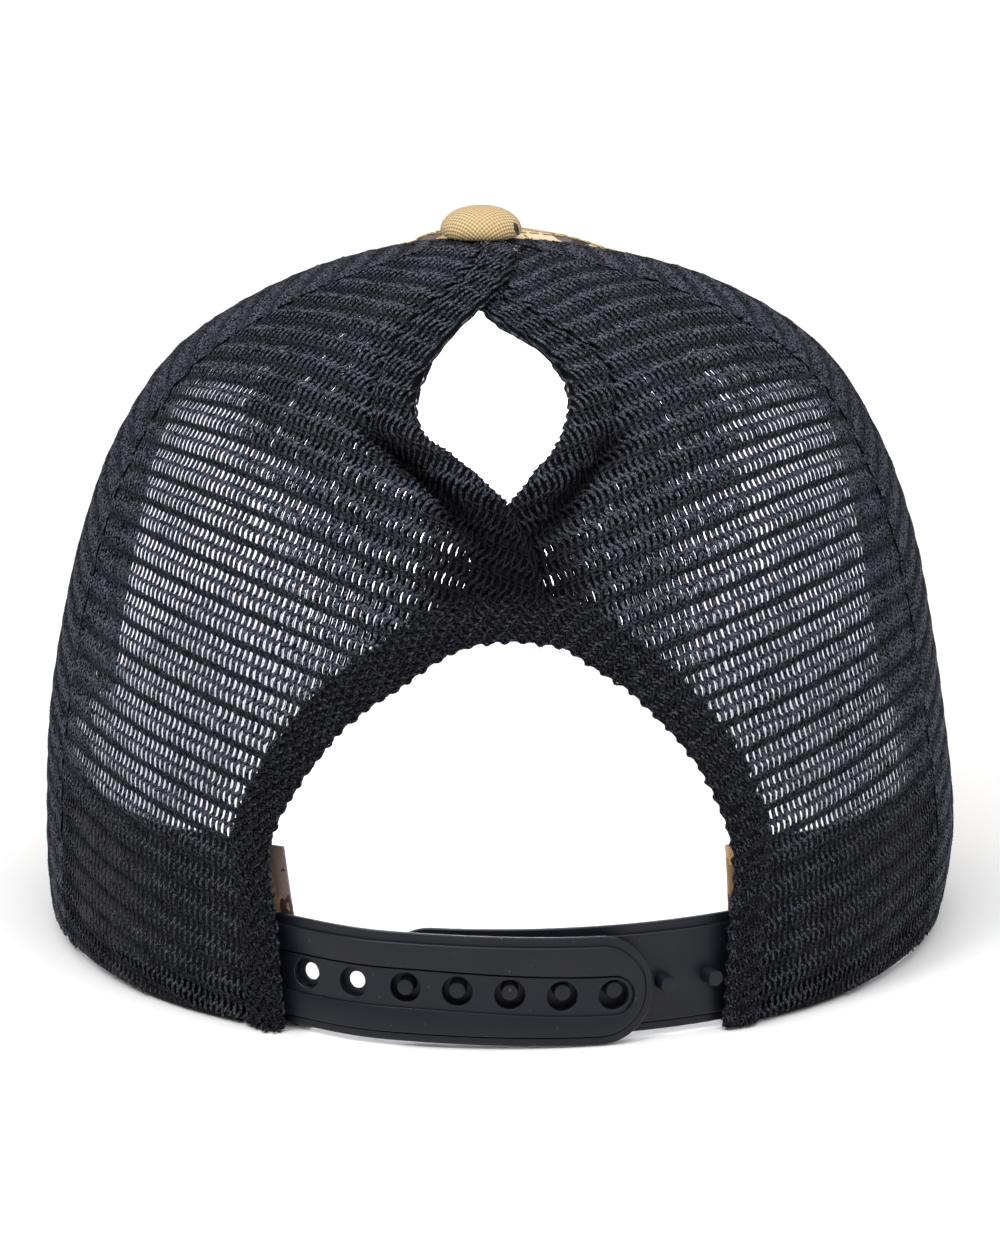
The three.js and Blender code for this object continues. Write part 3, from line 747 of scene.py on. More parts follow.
def button_finish():
    """Tan plain weave with one dark blot of the print near the rim."""
    finish = Finish("button_weave", roughness=0.85, specular=0.3, sheen=0.1)
    threads = finish.weave(BUTTON_PITCH)
    light = finish.ramp(threads, ((0.1, (0.33, 0.21, 0.075)), (0.8, (0.74, 0.56, 0.31))))
    wander = finish.scaled(finish.noise(scale=420, detail=2, colour=True), BUTTON_SPOT_WANDER * MM)
    moved = finish.added(finish.place, wander)
    spot = (Vector(BUTTON_SPOT) + Vector(AXIS) + Vector(WHITE) * BUTTON_SPOT_WANDER / 2) * MM
    away = finish.node("ShaderNodeVectorMath", {0: moved, 1: spot}, operation="DISTANCE")
    share = finish.maths("LESS_THAN", away.outputs["Value"], BUTTON_SPOT_RADIUS * MM)
    finish.colour(finish.mix(share, light, DARK_BROWN))
    finish.bump(threads, distance=0.24, strength=1.0)
    return finish.material


def plastic_finish():
    """Moulded satin plastic with a faint grain and a few specks of dust."""
    finish = Finish("strap_moulding", roughness=0.45, specular=0.3)
    dust = finish.noise(scale=1300, detail=1)
    specks = finish.ramp(dust, ((0.0, BLACK), (0.76, BLACK), (0.80, WHITE)))
    finish.colour(finish.mix(specks, (0.0045, 0.0052, 0.0105), (0.07, 0.07, 0.08)))
    rough = finish.ramp(finish.noise(scale=60, detail=3), ((0.3, grey(0.4)), (0.7, grey(0.52))))
    finish.put(finish.body.inputs["Roughness"], rough)
    finish.bump(finish.noise(scale=1500, detail=2), distance=0.02, strength=0.4)
    return finish.material


YARN = yarn_finish("knit_yarn", (0.003, 0.003, 0.004), (0.112, 0.117, 0.152), True)
# The knit painted near black: a shaded copy of the yarn for cloth that lies folded, behind or under it,
# painted shade.
SHADED_KNIT = yarn_finish("knit_folded", (0.0025, 0.0025, 0.003), (0.006, 0.006, 0.008))
PRINT = print_finish()
BUCKRAM = woven_finish("stiff_buckram", (0.66, 0.66, 0.70), pitch=1.3, depth=0.1, variation=0.02)
BAND_OUT = woven_finish("band_black_cloth", (0.010, 0.010, 0.012), pitch=0.8, depth=0.1, variation=0.3)
BAND_IN = woven_finish("band_pale_cotton", (0.5, 0.5, 0.53), pitch=0.9, depth=0.15, variation=0.04)
TAN_THREAD = yarn_finish("tan_thread", (0.5, 0.35, 0.17), (0.72, 0.55, 0.32))
BUTTON = button_finish()
PLASTIC = plastic_finish()

# Knit, in millimetres: three strands to a wale, a straight pillar and two threads that cross over.
PITCH = 1.48
PERIOD = 6.4
STRAND_KINDS = (
    {"steps": 4, "shift": 0, "delay": 0.0, "aside": 0.0, "thick": 1.05},
    {"steps": 8, "shift": 1, "delay": 0.0, "aside": -0.09, "thick": 1.0},
    {"steps": 8, "shift": 1, "delay": 0.08, "aside": 0.09, "thick": 1.0},
)
SIDE_STRAND_KINDS = tuple({**kind, "steps": steps} for kind, steps in zip(STRAND_KINDS, (4, 6, 6)))
# Painted shade: strands are painted darker where the crossing threads go back behind the pillars and lie
# deeper.
RECESS_AT = 0.87
RECESS_PAINTED_SHADE = 0.75
SEAM_MARGIN = 0.15
HEM_MARGIN = 0.7
STRAND_COLUMNS = ("turn", "slant", "shift", "delay", "aside", "thick", "loose", "tone", "across", "out")


def strand(point, across, up, turns, slant, kind, loose=1.0, fat=1.0, calm=1.0, tone=1.0):
    """One guide line with what each of its points carries."""
    up = unit(up)
    across = unit(across - up * np.sum(across * up, axis=-1, keepdims=True))
    same = np.ones(len(point))
    return {
        "point": point,
        "turn": turns,
        "slant": same * slant,
        "shift": same * kind["shift"] * calm,
        "delay": same * kind["delay"],
        "aside": same * kind["aside"] * calm * MM,
        "thick": same * kind["thick"] * fat,
        "loose": same * loose * calm,
        # The tone is painted shade: darker in the recess behind the pillars.
        "tone": tone * (1 - RECESS_PAINTED_SHADE * np.maximum(np.cos(TAU * (turns - RECESS_AT)), 0)),
        "across": across,
        "out": unit(np.cross(across, up)),
    }


MERIDIAN_STEPS = 500
# The wales are counted out to this angle and reach on both sides of a panel's middle, past every panel.
WALES_TO = 45
LARGEST_REACH = 100
# A guide point counts as on the panel where the levels on both sides of it are.
ON_PANEL = 0.99
LEAST_POINTS = 3
# Small steps from a guide point, as an angle and as a level, for the directions round and up there.
GUIDE_TURN = 0.25
GUIDE_RISE = 0.003


def panel_lines(name, middle, slope, valid, point_at, vary, kinds=STRAND_KINDS):
    """Knit guide lines of one panel, a fixed pitch apart round the crown on both sides of its middle.

    The courses slope down to the right by the given slope, and vary says what changes from place to place.
    """
    level = np.linspace(0.0, LAST_LEVEL, MERIDIAN_STEPS)
    run = run_along(crown_point(middle, level))
    turn = math.radians(middle)
    half_width = crown_size("right" if middle > 0 else "left", level)
    reach = crown_size("back" if math.cos(turn) > 0 else "front", level)
    around = np.maximum(np.hypot(half_width * math.cos(turn), reach * math.sin(turn)), 1)
    shrink = -np.gradient(around, run)
    slant = 1 if middle < 0 else -1
    runs = []
    widest = int(math.radians(WALES_TO) * LARGEST_REACH / PITCH)
    for n in range(-widest, widest + 1):
        sideways = n * PITCH
        azimuth = middle + np.degrees(sideways / around)
        neighbour = middle + np.degrees((sideways + slant * PITCH) / around)
        bend = shrink * sideways**2 / (2 * around)
        phase = np.maximum.accumulate((run + slope * sideways + bend) / PERIOD)
        alone = valid(azimuth, level)
        both = alone & valid(neighbour, level)
        for kind in kinds:
            steps = kind["steps"]
            allowed = both if kind["shift"] else alone
            turns = np.arange(math.ceil(phase[0] * steps), math.floor(phase[-1] * steps) + 1) / steps
            at = np.interp(turns, phase, level)
            keep = np.interp(at, level, allowed.astype(float)) > ON_PANEL
            spots = middle + np.degrees(sideways / np.interp(at, level, around))
            cuts = np.flatnonzero(np.diff(keep.astype(int))) + 1
            for part in np.split(np.arange(len(at)), cuts):
                if len(part) < LEAST_POINTS or not keep[part[0]]:
                    continue
                spot, rise = spots[part], at[part]
                across = point_at(spot + GUIDE_TURN, rise) - point_at(spot - GUIDE_TURN, rise)
                above = point_at(spot, np.minimum(rise + GUIDE_RISE, HIGHEST_LEVEL))
                below = point_at(spot, np.maximum(rise - GUIDE_RISE, 0.0))
                point, up = point_at(spot, rise), above - below
                runs.append(strand(point, across, up, turns[part], slant, kind, **vary(spot, rise)))
    return guide_mesh(name, runs, STRAND_COLUMNS)


RIBBON_STEPS = 400
RIBBON_ALONG = 0.002
RIBBON_ACROSS = 0.02
# Each line of a ribbon is this share of a period further on than the line before.
RIBBON_SHIFT = 0.37


def ribbon_lines(name, surface, places, period, tone):
    """Knit guide lines along a ribbon, whose surface gives points for shares along and across."""
    fine = np.linspace(0, 1, RIBBON_STEPS)
    runs = []
    for n, place in enumerate(places):
        run = run_along(surface(fine, place)) / period
        for kind in STRAND_KINDS:
            steps = kind["steps"]
            turns = np.arange(0, math.floor(run[-1] * steps) + 1) / steps
            share = np.interp(turns, run, fine)
            across = surface(share, place + RIBBON_ACROSS) - surface(share, place - RIBBON_ACROSS)
            before = surface(np.maximum(share - RIBBON_ALONG, 0), place)
            after = surface(np.minimum(share + RIBBON_ALONG, 1), place)
            turns = turns + RIBBON_SHIFT * n
            runs.append(strand(surface(share, place), across, after - before, turns, 1, kind, tone=tone))
    return guide_mesh(name, runs, STRAND_COLUMNS)


def round_at(level, least):
    """About how far the crown's face stands from its axis, but no less than a given reach."""
    return np.maximum(crown_size("left", level), least)


def seam_between(azimuth, level, low, high):
    margin = np.degrees(SEAM_MARGIN / round_at(level, 1))
    above_hem = crown_size("height", level) >= hem_height(azimuth) + HEM_MARGIN
    return (azimuth > low + margin) & (azimuth < high - margin) & above_hem


# The knit goes on under the binding of the arch, to this share of its width.
ARCH_SEWN = arch_outline(0.6, 90)
ARCH_EDGE_MARGIN = 0.4


def on_back_panel(side, azimuth, level):
    low, high = (-SIDE_SEAM, 90) if side < 0 else (-90, SIDE_SEAM)
    x = crown_point(azimuth, level)[..., 0]
    height = crown_size("height", level)
    clear = ~inside_outline(x, height, ARCH_SEWN)
    least = np.where(height < HEM_FROM, ARCH_EDGE_MARGIN, -HEM_TURNED)
    far_enough = from_free_edge(side, azimuth, level) > least
    return seam_between(azimuth, level, low, high) & far_enough & clear


COURSE_SLOPE = 0.2
KNIT_VALUES = {
    "Pitch": PITCH * MM,
    "Strand Radius": 0.35 * MM,
    "Sway": 0.22 * MM,
    "Skew": 0.3,
    "Relief": 0.08 * MM,
    "Over And Under": 0.34 * MM,
    "Looseness": 0.16 * MM,
    "Fullness": 0.3,
    "Spread": 1.6,
    "Grain": 900.0,
    "Sides": 3,
    "Yarn": YARN,
}
STRANDS = strand_tree()
# Thickness of the strands of each back panel, and how much it changes upwards, near the free edge, outwards
# round the crown, on the turned hem and over the band. The pairs say from where to where it changes.
FATNESS = {-1: 1.1, 1: 1.2}
THINNER_UP = 0.08
THINNING_UP = (92, 118)
THICKER_BESIDE = 0.1
THICKENING_BESIDE = (20, 62)
THINNER_OUT = 0.35
THINNING_OUT = (34, 64)
THINNER_HEM = 0.3
THINNER_LOW = 0.3
HEM_EASING = 15
HEM_LOOSE_TO = (7, 10)
CALM_EDGE = (0.9, 3.0)
# Painted shade on the knit: darker round the knot, a painted shadow in the fold beside the hole, and darker
# over the band.
KNOT_MIDDLE = (1.0, 87.0)
KNOT_REACH = (11, 24)
KNOT_PAINTED_SHADE = 0.9
FOLD_MIDDLE = 10.7
FOLD_PAINTED_SHADOW = 0.95
BAND_BEHIND = (30, 42)
BAND_PAINTED_SHADE = 0.3
# Dark strands set behind the knit, which close it towards the top and the free edge: partly a real inlay
# yarn, partly painted shade, as they carry only the yarn's dark colour and hide the inside where it lies in
# shade.
INLAY_DEPTH = 0.45
INLAY_UP = (108, 130)
INLAY_TOP = 1.15
INLAY_BESIDE = (22, 66)
INLAY_EASING = 1.3
INLAY_LOW = 0.95
INLAY_LEAST = 0.03
INLAY_FROM_EDGE = 2.0
INLAY_KINDS = ({"steps": 6, "shift": 0, "delay": 0.0, "aside": 0.55, "thick": 1.0},)
INLAY_VALUES = {
    **KNIT_VALUES,
    "Strand Radius": 0.47 * MM,
    "Sway": 0.3 * MM,
    "Relief": 0.0,
    "Fullness": 0.0,
    "Spread": 0.0,
}
SIDE_KNIT_VALUES = {
    **KNIT_VALUES,
    "Strand Radius": 0.3 * MM,
    "Sway": 0.18 * MM,
    "Relief": 0.04 * MM,
    "Over And Under": 0.14 * MM,
    "Spread": 0.8,
}
BELOW_FACE = -0.5


def dress(name, mesh, node_name):
    """Makes a mesh a finished piece that stands for a node."""
    piece = link(name, mesh)
    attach(piece, "root")
    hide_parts(node_name)


def sewn(name, outside, inside, materials, node_name):
    """A finished piece that is a closed wall."""
    dress(name, outward(wall(name, outside, inside, materials)), node_name)


def back_knit(side, azimuth, level):
    """What varies over a back panel: a loose hem, a calm free edge, and painted shade on the knit at the
    knot, a painted shadow in the fold and painted shade over the band.
    """
    height = crown_size("height", level)
    from_edge = from_free_edge(side, azimuth, level)
    beside_hem = smooth(height, HEM_FROM, HEM_FROM + HEM_EASING)
    on_hem = beside_hem * (1 - smooth(from_edge, *HEM_LOOSE_TO))
    on_edge = beside_hem * (1 - smooth(from_edge, *CALM_EDGE))
    x = crown_point(azimuth, level)[..., 0]
    from_knot = np.hypot(x - KNOT_MIDDLE[0], height - KNOT_MIDDLE[1])
    in_fold = np.exp(-(((from_edge - FOLD_MIDDLE) / FOLD_WIDTH * 2) ** 2)) * stretch(height, *FOLD_HEIGHTS)
    over_band = 1 - smooth(height, *BAND_BEHIND)
    beside = 1 - smooth(from_edge, *THICKENING_BESIDE)
    above = smooth(height, *THINNING_UP)
    outwards = smooth(np.abs(azimuth), *THINNING_OUT)
    fat = FATNESS[side] - THINNER_UP * above + THICKER_BESIDE * beside
    # Painted shade round the knot, painted shadow in the fold and painted shade over the band, carried as
    # tone.
    tone = 1 - KNOT_PAINTED_SHADE * (1 - smooth(from_knot, *KNOT_REACH))
    return {
        "loose": 1 + (HEM_LOOSENESS - 1) * on_hem,
        "calm": 1 - on_edge,
        "fat": fat - THINNER_OUT * outwards - THINNER_HEM * on_hem - THINNER_LOW * over_band,
        "tone": tone * (1 - FOLD_PAINTED_SHADOW * in_fold) * (1 - BAND_PAINTED_SHADE * over_band),
    }


def back_closed(side, azimuth, level):
    """How far the dark inlay closes the knit, towards the top and the free edge."""
    above = INLAY_TOP * smooth(crown_size("height", level), *INLAY_UP)
    beside = 1 - smooth(from_free_edge(side, azimuth, level), *INLAY_BESIDE)
    return np.maximum(above, INLAY_LOW * beside**INLAY_EASING)


def knit(name, node_name, lines, values):
    dress(name, grown(name, lines, STRANDS, values), node_name)


def knit_panels():
    for side, word in SIDES:
        knit_back(side, word)
        knit_side(side, word)


def knit_back(side, word):
    """One back panel: its knit, and the inlay behind the places where it is closed."""
    slope = -side * COURSE_SLOPE
    middle = side * SIDE_SEAM / 2
    valid = lambda azimuth, level: on_back_panel(side, azimuth, level)
    point = lambda azimuth, level: back_point(side, azimuth, level, BELOW_FACE)
    vary = lambda azimuth, level: back_knit(side, azimuth, level)
    lines = panel_lines("guides", middle, slope, valid, point, vary)
    knit("back_knit_" + word, "back_panel_" + word, lines, KNIT_VALUES)

    def inlaid(azimuth, level):
        beyond_edge = from_free_edge(side, azimuth, level) > INLAY_FROM_EDGE
        return valid(azimuth, level) & beyond_edge & (back_closed(side, azimuth, level) > INLAY_LEAST)

    point = lambda azimuth, level: back_point(side, azimuth, level, BELOW_FACE - INLAY_DEPTH)
    # Painted shade: the inlay carries no tone, so it takes only the yarn's dark colour.
    vary = lambda azimuth, level: {"fat": back_closed(side, azimuth, level), "tone": 0.0}
    lines = panel_lines("guides", middle, slope, inlaid, point, vary, INLAY_KINDS)
    knit("back_inlay_" + word, "back_panel_" + word, lines, INLAY_VALUES)


def knit_side(side, word):
    low, high = sorted((side * SIDE_SEAM, side * FRONT_SEAM))
    valid = lambda azimuth, level: seam_between(azimuth, level, low, high)
    point = lambda azimuth, level: lifted(azimuth, level, BELOW_FACE)
    vary = lambda azimuth, level: {}
    slope = -side * COURSE_SLOPE
    lines = panel_lines("guides", (low + high) / 2, slope, valid, point, vary, SIDE_STRAND_KINDS)
    knit("side_knit_" + word, "side_panel_" + word, lines, SIDE_KNIT_VALUES)


def rounded(share, bottom, top):
    """Outer and inner lift of a flat roll with rounded edges, at a share of its width."""
    bulge = np.sqrt(np.sin(np.pi * np.clip(share, 0, 1)))
    middle = (bottom + top) / 2
    half = (top - bottom) / 2
    return middle + half * bulge, middle - half * bulge


# Binding of the arch: a tape in the knit painted dark as shade, under knit whose tone is painted darker than
# the panels' as shade.
BINDING_TOP = 0.7
BINDING_BOTTOM = -2.0
BINDING_LINES = (0.0, 0.05, 0.13, 0.23, 0.33, 0.43, 0.53, 0.63, 0.73, 0.83, 0.92)
BINDING_INNER_LINES = (0.06, 0.2, 0.35, 0.5, 0.65, 0.8)
BINDING_PERIOD = 3.4
BINDING_FOOT = 0.75
# Tone of the binding's knit: painted shade.
BINDING_SHADED_TONE = 0.62
BINDING_VALUES = {
    "Pitch": 0.8 * MM,
    "Strand Radius": 0.22 * MM,
    "Sway": 0.3 * MM,
    "Relief": 0.25 * MM,
    "Fullness": 0.2,
    "Over And Under": 0.25 * MM,
    "Looseness": 1.05 * MM,
    "Grain": 520.0,
}
BINDING_PROUD = 0.1
BINDING_ROWS = 13
ARCH_STEPS = 160
ARCH_OPEN = arch_outline(0, ARCH_STEPS)
ARCH_SEAM = arch_outline(1, ARCH_STEPS)


def binding_point(share, place, inner, extra=0.0):
    """A point of the binding: a share of the way along the arch, and a place across from its open edge."""
    along = np.asarray(share) * ARCH_STEPS
    index = np.arange(ARCH_STEPS + 1)
    spots = ARCH_OPEN + (ARCH_SEAM - ARCH_OPEN) * place
    x, height = (np.interp(along, index, spots[:, k]) for k in (0, 1))
    height = np.maximum(height, BINDING_FOOT)
    level = level_at(height)
    outer_lift, inner_lift = rounded(np.clip(place, 0, 1), BINDING_BOTTOM, BINDING_TOP)
    lift = inner_lift - extra if inner else outer_lift + extra
    return lifted(azimuth_at(x, level), level, lift)


def arch_binding():
    share = np.linspace(0, 1, ARCH_STEPS + 1)
    places = 0.5 - 0.5 * np.cos(np.linspace(0, np.pi, BINDING_ROWS))
    outside = np.stack([binding_point(share, place, False) for place in places])
    inside = np.stack([binding_point(share, place, True) for place in places])
    sewn("arch_binding_tape", outside, inside, [SHADED_KNIT], "arch_binding")
    for word, inner, places in (("outer", False, BINDING_LINES), ("inner", True, BINDING_INNER_LINES)):
        face = lambda share, place, inner=inner: binding_point(share, place, inner, BINDING_PROUD)
        lines = ribbon_lines("guides", face, places, BINDING_PERIOD, BINDING_SHADED_TONE)
        knit("arch_binding_knit_" + word, "arch_binding", lines, {**KNIT_VALUES, **BINDING_VALUES})


# Inside of the folded hems along the free edges of the back panels, in the knit painted near black as shade.
# Beside the fold it reaches further: a dark sheet put in as painted shadow of the fold.
HEM_TO = 142.3
HEM_STEPS = 140
HEM_PLACES = (0.15, 0.7, 1.6, 3.0, 4.6, 6.2, 7.6, 9.0, 10.5, 12.0)
HEM_INSIDE = (-0.85, -1.55)
FOLD_SHARE = 0.36


def hem_insides():
    height = np.linspace(HEM_FROM, HEM_TO, HEM_STEPS + 1)[:, None]
    level = level_at(height)
    place = np.array(HEM_PLACES)[None, :] * (1 + FOLD_SHARE * stretch(height, *FOLD_HEIGHTS))
    for side, word in SIDES:
        edge = azimuth_at(edge_at(EDGES[side], height), level)
        azimuth = edge + side * np.degrees(place / np.maximum(crown_size("back", level), LEAST_BACK))
        outside, inside = (back_point(side, azimuth, level, depth) for depth in HEM_INSIDE)
        sewn("hem_inside_" + word, outside, inside, [SHADED_KNIT], "back_panel_" + word)


# Folded seam allowances behind the two seams of each side panel, in the knit painted near black as shade:
# half width and depths below the face.
SEAM_FOLDS = {
    "back": (SIDE_SEAM, 1.9, (-0.75, -1.6)),
    "front": (FRONT_SEAM, 2.4, (-0.9, -3.15)),
}
SEAM_FOLD_TO = 0.95
SEAM_FOLD_ROWS = 60
SEAM_FOLD_COLUMNS = 7
SEAM_LEAST_ROUND = 6


def seam_folds():
    across = np.linspace(-1, 1, SEAM_FOLD_COLUMNS)[None, :]
    for side, word in SIDES:
        for kind, (seam, half, depths) in SEAM_FOLDS.items():
            low = hem_height(side * seam) + (0 if kind == "back" else BAND_HEIGHT)
            level = np.linspace(level_at(low), SEAM_FOLD_TO, SEAM_FOLD_ROWS)[:, None]
            azimuth = side * seam + np.degrees(half * across / round_at(level, SEAM_LEAST_ROUND))
            outside, inside = (lifted(azimuth, level, depth) for depth in depths)
            sewn("seam_" + kind + "_" + word, outside, inside, [SHADED_KNIT], "side_panel_" + word)


# Turned-in hem along the bottom of the mesh panels, in the knit painted near black as shade, each part from
# one angle to another.
HEM_FOLD_HEIGHTS = (0.4, 6.0)
HEM_FOLD_DEPTHS = (-0.95, -1.7)
HEM_FOLDS = (("back_panel_", 33.0, SIDE_SEAM), ("side_panel_", SIDE_SEAM, FRONT_SEAM))
HEM_FOLD_COLUMNS = 61
HEM_FOLD_ROWS = 5


def hem_folds():
    rise = np.linspace(*HEM_FOLD_HEIGHTS, HEM_FOLD_ROWS)[:, None]
    for side, word in SIDES:
        for panel, start, end in HEM_FOLDS:
            azimuth = side * np.linspace(start, end, HEM_FOLD_COLUMNS)[None, :]
            level = level_at(hem_height(azimuth) + rise)
            outside, inside = (lifted(azimuth, level, depth) for depth in HEM_FOLD_DEPTHS)
            sewn("hem_fold_" + panel + word, outside, inside, [SHADED_KNIT], panel + word)


# Front panels, with a shallow groove where they are sewn.
FRONT_WALL = 2.0
FRONT_FACE = {-1: -0.95, 1: -0.85}
FRONT_RISE = 1.4
FRONT_RISES = {-1: (140.4, 142.0), 1: (137.6, 141.0)}
FRONT_COLUMNS = 70
FRONT_ROWS = 90
GROOVE_DEPTH = 0.7
GROOVE_WIDTH = 1.3
HALF_SEAM_GAP = 0.01
FRONT_LEAST_ROUND = 2


def front_face(azimuth, level):
    """Lift of a front panel's face: a little below the knit, and standing up beside the button."""
    height = crown_size("height", level)
    right = smooth(height, *FRONT_RISES[1])
    left = smooth(height, *FRONT_RISES[-1])
    on_right = np.asarray(azimuth) < 180
    return np.where(on_right, FRONT_FACE[1], FRONT_FACE[-1]) + FRONT_RISE * np.where(on_right, right, left)


def front_grid(low, high, lift_at):
    share = np.linspace(0, 1, FRONT_COLUMNS + 1)[None, :]
    rise = np.linspace(0, 1, FRONT_ROWS + 1)[:, None]
    bare = low + (high - low) * share
    start = level_at(hem_height(bare))
    level = start + (LAST_LEVEL - start) * rise
    around = round_at(level, FRONT_LEAST_ROUND)
    gap = np.degrees(HALF_SEAM_GAP / around)
    azimuth = low + gap + (high - low - 2 * gap) * share
    to_seam = np.radians(np.minimum(azimuth - low, high - azimuth)) * around
    points = lifted(azimuth, level, lift_at(azimuth, level, to_seam))
    points[0, :, 2] = hem_height(bare)[0]
    return points


def front_outside(azimuth, level, to_seam):
    return front_face(azimuth, level) - GROOVE_DEPTH * np.exp(-((to_seam / GROOVE_WIDTH) ** 2))


def front_inside(azimuth, level, to_seam):
    return np.full(np.shape(to_seam), -FRONT_WALL)


def front_panels():
    for low, high, word in ((FRONT_SEAM, 180.0, "right"), (180.0, 360.0 - FRONT_SEAM, "left")):
        outside, inside = (front_grid(low, high, lift_at) for lift_at in (front_outside, front_inside))
        materials = [PRINT, BUCKRAM, PRINT]
        sewn("front_cloth_" + word, outside, inside, materials, "front_panel_" + word)


# Band inside the hem.
BAND_HEIGHT = 36.5
BAND_WALL = 1.5
BAND_OUTSIDE = -2.45
BAND_OUTSIDE_AT_STRAP = -5.8
BAND_LEFT_END = 24.6
BAND_LEFT_SLANT = 4.1
BAND_RIGHT_END = 30.7
BAND_EASING = 14
BAND_TURN_IN = {-1: 5.0, 1: 2.4}
BAND_COLUMNS = 220
BAND_ROWS = 12
STRAP_TAB = 34


def band_grid(extra):
    share = np.linspace(0, 1, BAND_COLUMNS + 1)[None, :]
    rise = np.linspace(0, 1, BAND_ROWS + 1)[:, None]
    azimuth = BAND_RIGHT_END + (360 - BAND_LEFT_END - BAND_LEFT_SLANT * rise - BAND_RIGHT_END) * share
    height = hem_height(azimuth) + BAND_HEIGHT * rise
    from_back = np.minimum(azimuth, 360 - azimuth)
    away = smooth(from_back, STRAP_TAB + 1, STRAP_TAB + BAND_EASING)
    lift = BAND_OUTSIDE_AT_STRAP + (BAND_OUTSIDE - BAND_OUTSIDE_AT_STRAP) * away
    points = lifted(azimuth, level_at(height), lift + extra)
    points[0, :, 2] = height[0]
    return points


def sweatband():
    """The band: black outside, pale inside and along its edges, and printed at its two turned-in ends."""
    mesh = wall("sweatband_cloth", band_grid(0.0), band_grid(-BAND_WALL), [BAND_OUT, BAND_IN, PRINT])
    for face in mesh.polygons:
        spot = face.center / MM
        azimuth = math.atan2(spot.x - AXIS[0], -(spot.y - AXIS[1]))
        spot_reach = math.hypot(spot.x - AXIS[0], spot.y - AXIS[1])
        left_end = BAND_LEFT_END + BAND_LEFT_SLANT * spot.z / BAND_HEIGHT
        ends = {1: math.radians(BAND_RIGHT_END), -1: math.radians(-left_end)}
        if any(abs(azimuth - end) * spot_reach < BAND_TURN_IN[side] for side, end in ends.items()):
            face.material_index = RIM
        elif face.material_index == RIM:
            face.material_index = INNER
    dress("sweatband_cloth", outward(mesh), "sweatband")


# Peak

def peak_place(share, reach):
    """Spot of the peak seen from above, in the crown's own frame."""
    s = 2 * share - 1
    azimuth = 180 + s * PEAK_SPAN
    seam_height = peak_underside(crown_point(azimuth, 0)[..., 0]) + PEAK_THICKNESS / 2
    seam = lifted(azimuth, level_at(seam_height), PEAK_SEAM_GAP) - AXIS
    sweep = np.radians(90 * s)
    power = 2 / PEAK_SQUARENESS
    front_x = -PEAK_HALF_WIDTH * np.sign(s) * np.abs(np.sin(sweep)) ** power
    front_y = PEAK_SIDE_START + (PEAK_REACH - PEAK_SIDE_START) * np.maximum(np.cos(sweep), 0) ** power
    x = seam[..., 0] + (front_x - seam[..., 0]) * reach
    y = seam[..., 1] + (front_y - seam[..., 1]) * reach
    return x, y


def peak_point(share, reach, above):
    x, y = peak_place(share, reach)
    return np.stack((x, y, peak_underside(x) + above), -1) + AXIS


PEAK_COLUMNS = 121
PEAK_FLAT_ROWS = 28
PEAK_ROUND_ROWS = 7
# Share of the reach from which the rim is rounded, and the share of its thickness left at the very edge.
PEAK_ROUND_FROM = 0.975
PEAK_EDGE_SHARE = 0.08
PEAK_ROUND_START = 0.1


def peak():
    share = np.linspace(0, 1, PEAK_COLUMNS)[None, :]
    rounding = 1 - np.sin(np.linspace(PEAK_ROUND_START, 1, PEAK_ROUND_ROWS) * np.pi / 2)
    flat = np.linspace(0, PEAK_ROUND_FROM, PEAK_FLAT_ROWS)
    reach = np.concatenate((flat, 1 - (1 - PEAK_ROUND_FROM) * rounding))[:, None]
    share, reach = np.broadcast_arrays(share, reach)
    past = np.clip((reach - PEAK_ROUND_FROM) / (1 - PEAK_ROUND_FROM), 0, 1)
    half = PEAK_THICKNESS / 2 * np.maximum(np.sqrt(1 - past**2), PEAK_EDGE_SHARE)
    outside = peak_point(share, reach, PEAK_THICKNESS / 2 + half)
    inside = peak_point(share, reach, PEAK_THICKNESS / 2 - half)
    sewn("peak_cloth", outside, inside, [PRINT, BAND_IN, PRINT], "peak")


# Button

BUTTON_SEAT = CROWN_TOP + 0.9
BUTTON_RADII = np.array((5.6, 7.4, 8.1, 8.35, 8.3, 7.9, 7.2, 6.1, 4.8, 3.3, 1.7, 0.02))
BUTTON_HEIGHTS = np.array((-0.1, -0.3, 0.1, 0.8, 1.6, 2.6, 3.5, 4.4, 5.05, 5.5, 5.75, 5.8))
ROUND_STEPS = 72


def button():
    """A turned dome whose cloth map is laid out flat from the top, so that the weave runs on over the rim."""
    angle = np.linspace(0, TAU, ROUND_STEPS, endpoint=False)
    from_top = run_along(np.stack((BUTTON_RADII, BUTTON_HEIGHTS), -1)[::-1])[::-1]
    points, cloth, faces = [], [], []
    for radius, height, arc in zip(BUTTON_RADII, BUTTON_HEIGHTS, from_top):
        for x, y in zip(np.cos(angle), np.sin(angle)):
            points.append((TOP_LEAN + AXIS[0] + radius * x, AXIS[1] + radius * y, BUTTON_SEAT + height))
            cloth.append((arc * x, arc * y))
    for j in range(len(BUTTON_RADII) - 1):
        for i in range(ROUND_STEPS):
            a, b = (j * ROUND_STEPS + k % ROUND_STEPS for k in (i, i + 1))
            faces.append((a, b, b + ROUND_STEPS, a + ROUND_STEPS))
    faces.append(tuple(range(ROUND_STEPS))[::-1])
    faces.append(tuple(range(len(points) - ROUND_STEPS, len(points))))
    mesh = mesh_of("button_cover", points, faces)
    mesh.materials.append(BUTTON)
    mesh.polygons.foreach_set("use_smooth", [True] * len(mesh.polygons))
    layer = mesh.uv_layers.new(name="cloth")
    for loop in mesh.loops:
        layer.data[loop.index].uv = Vector(cloth[loop.vertex_index]) * MM
    dress("button_cover", outward(mesh), "button")


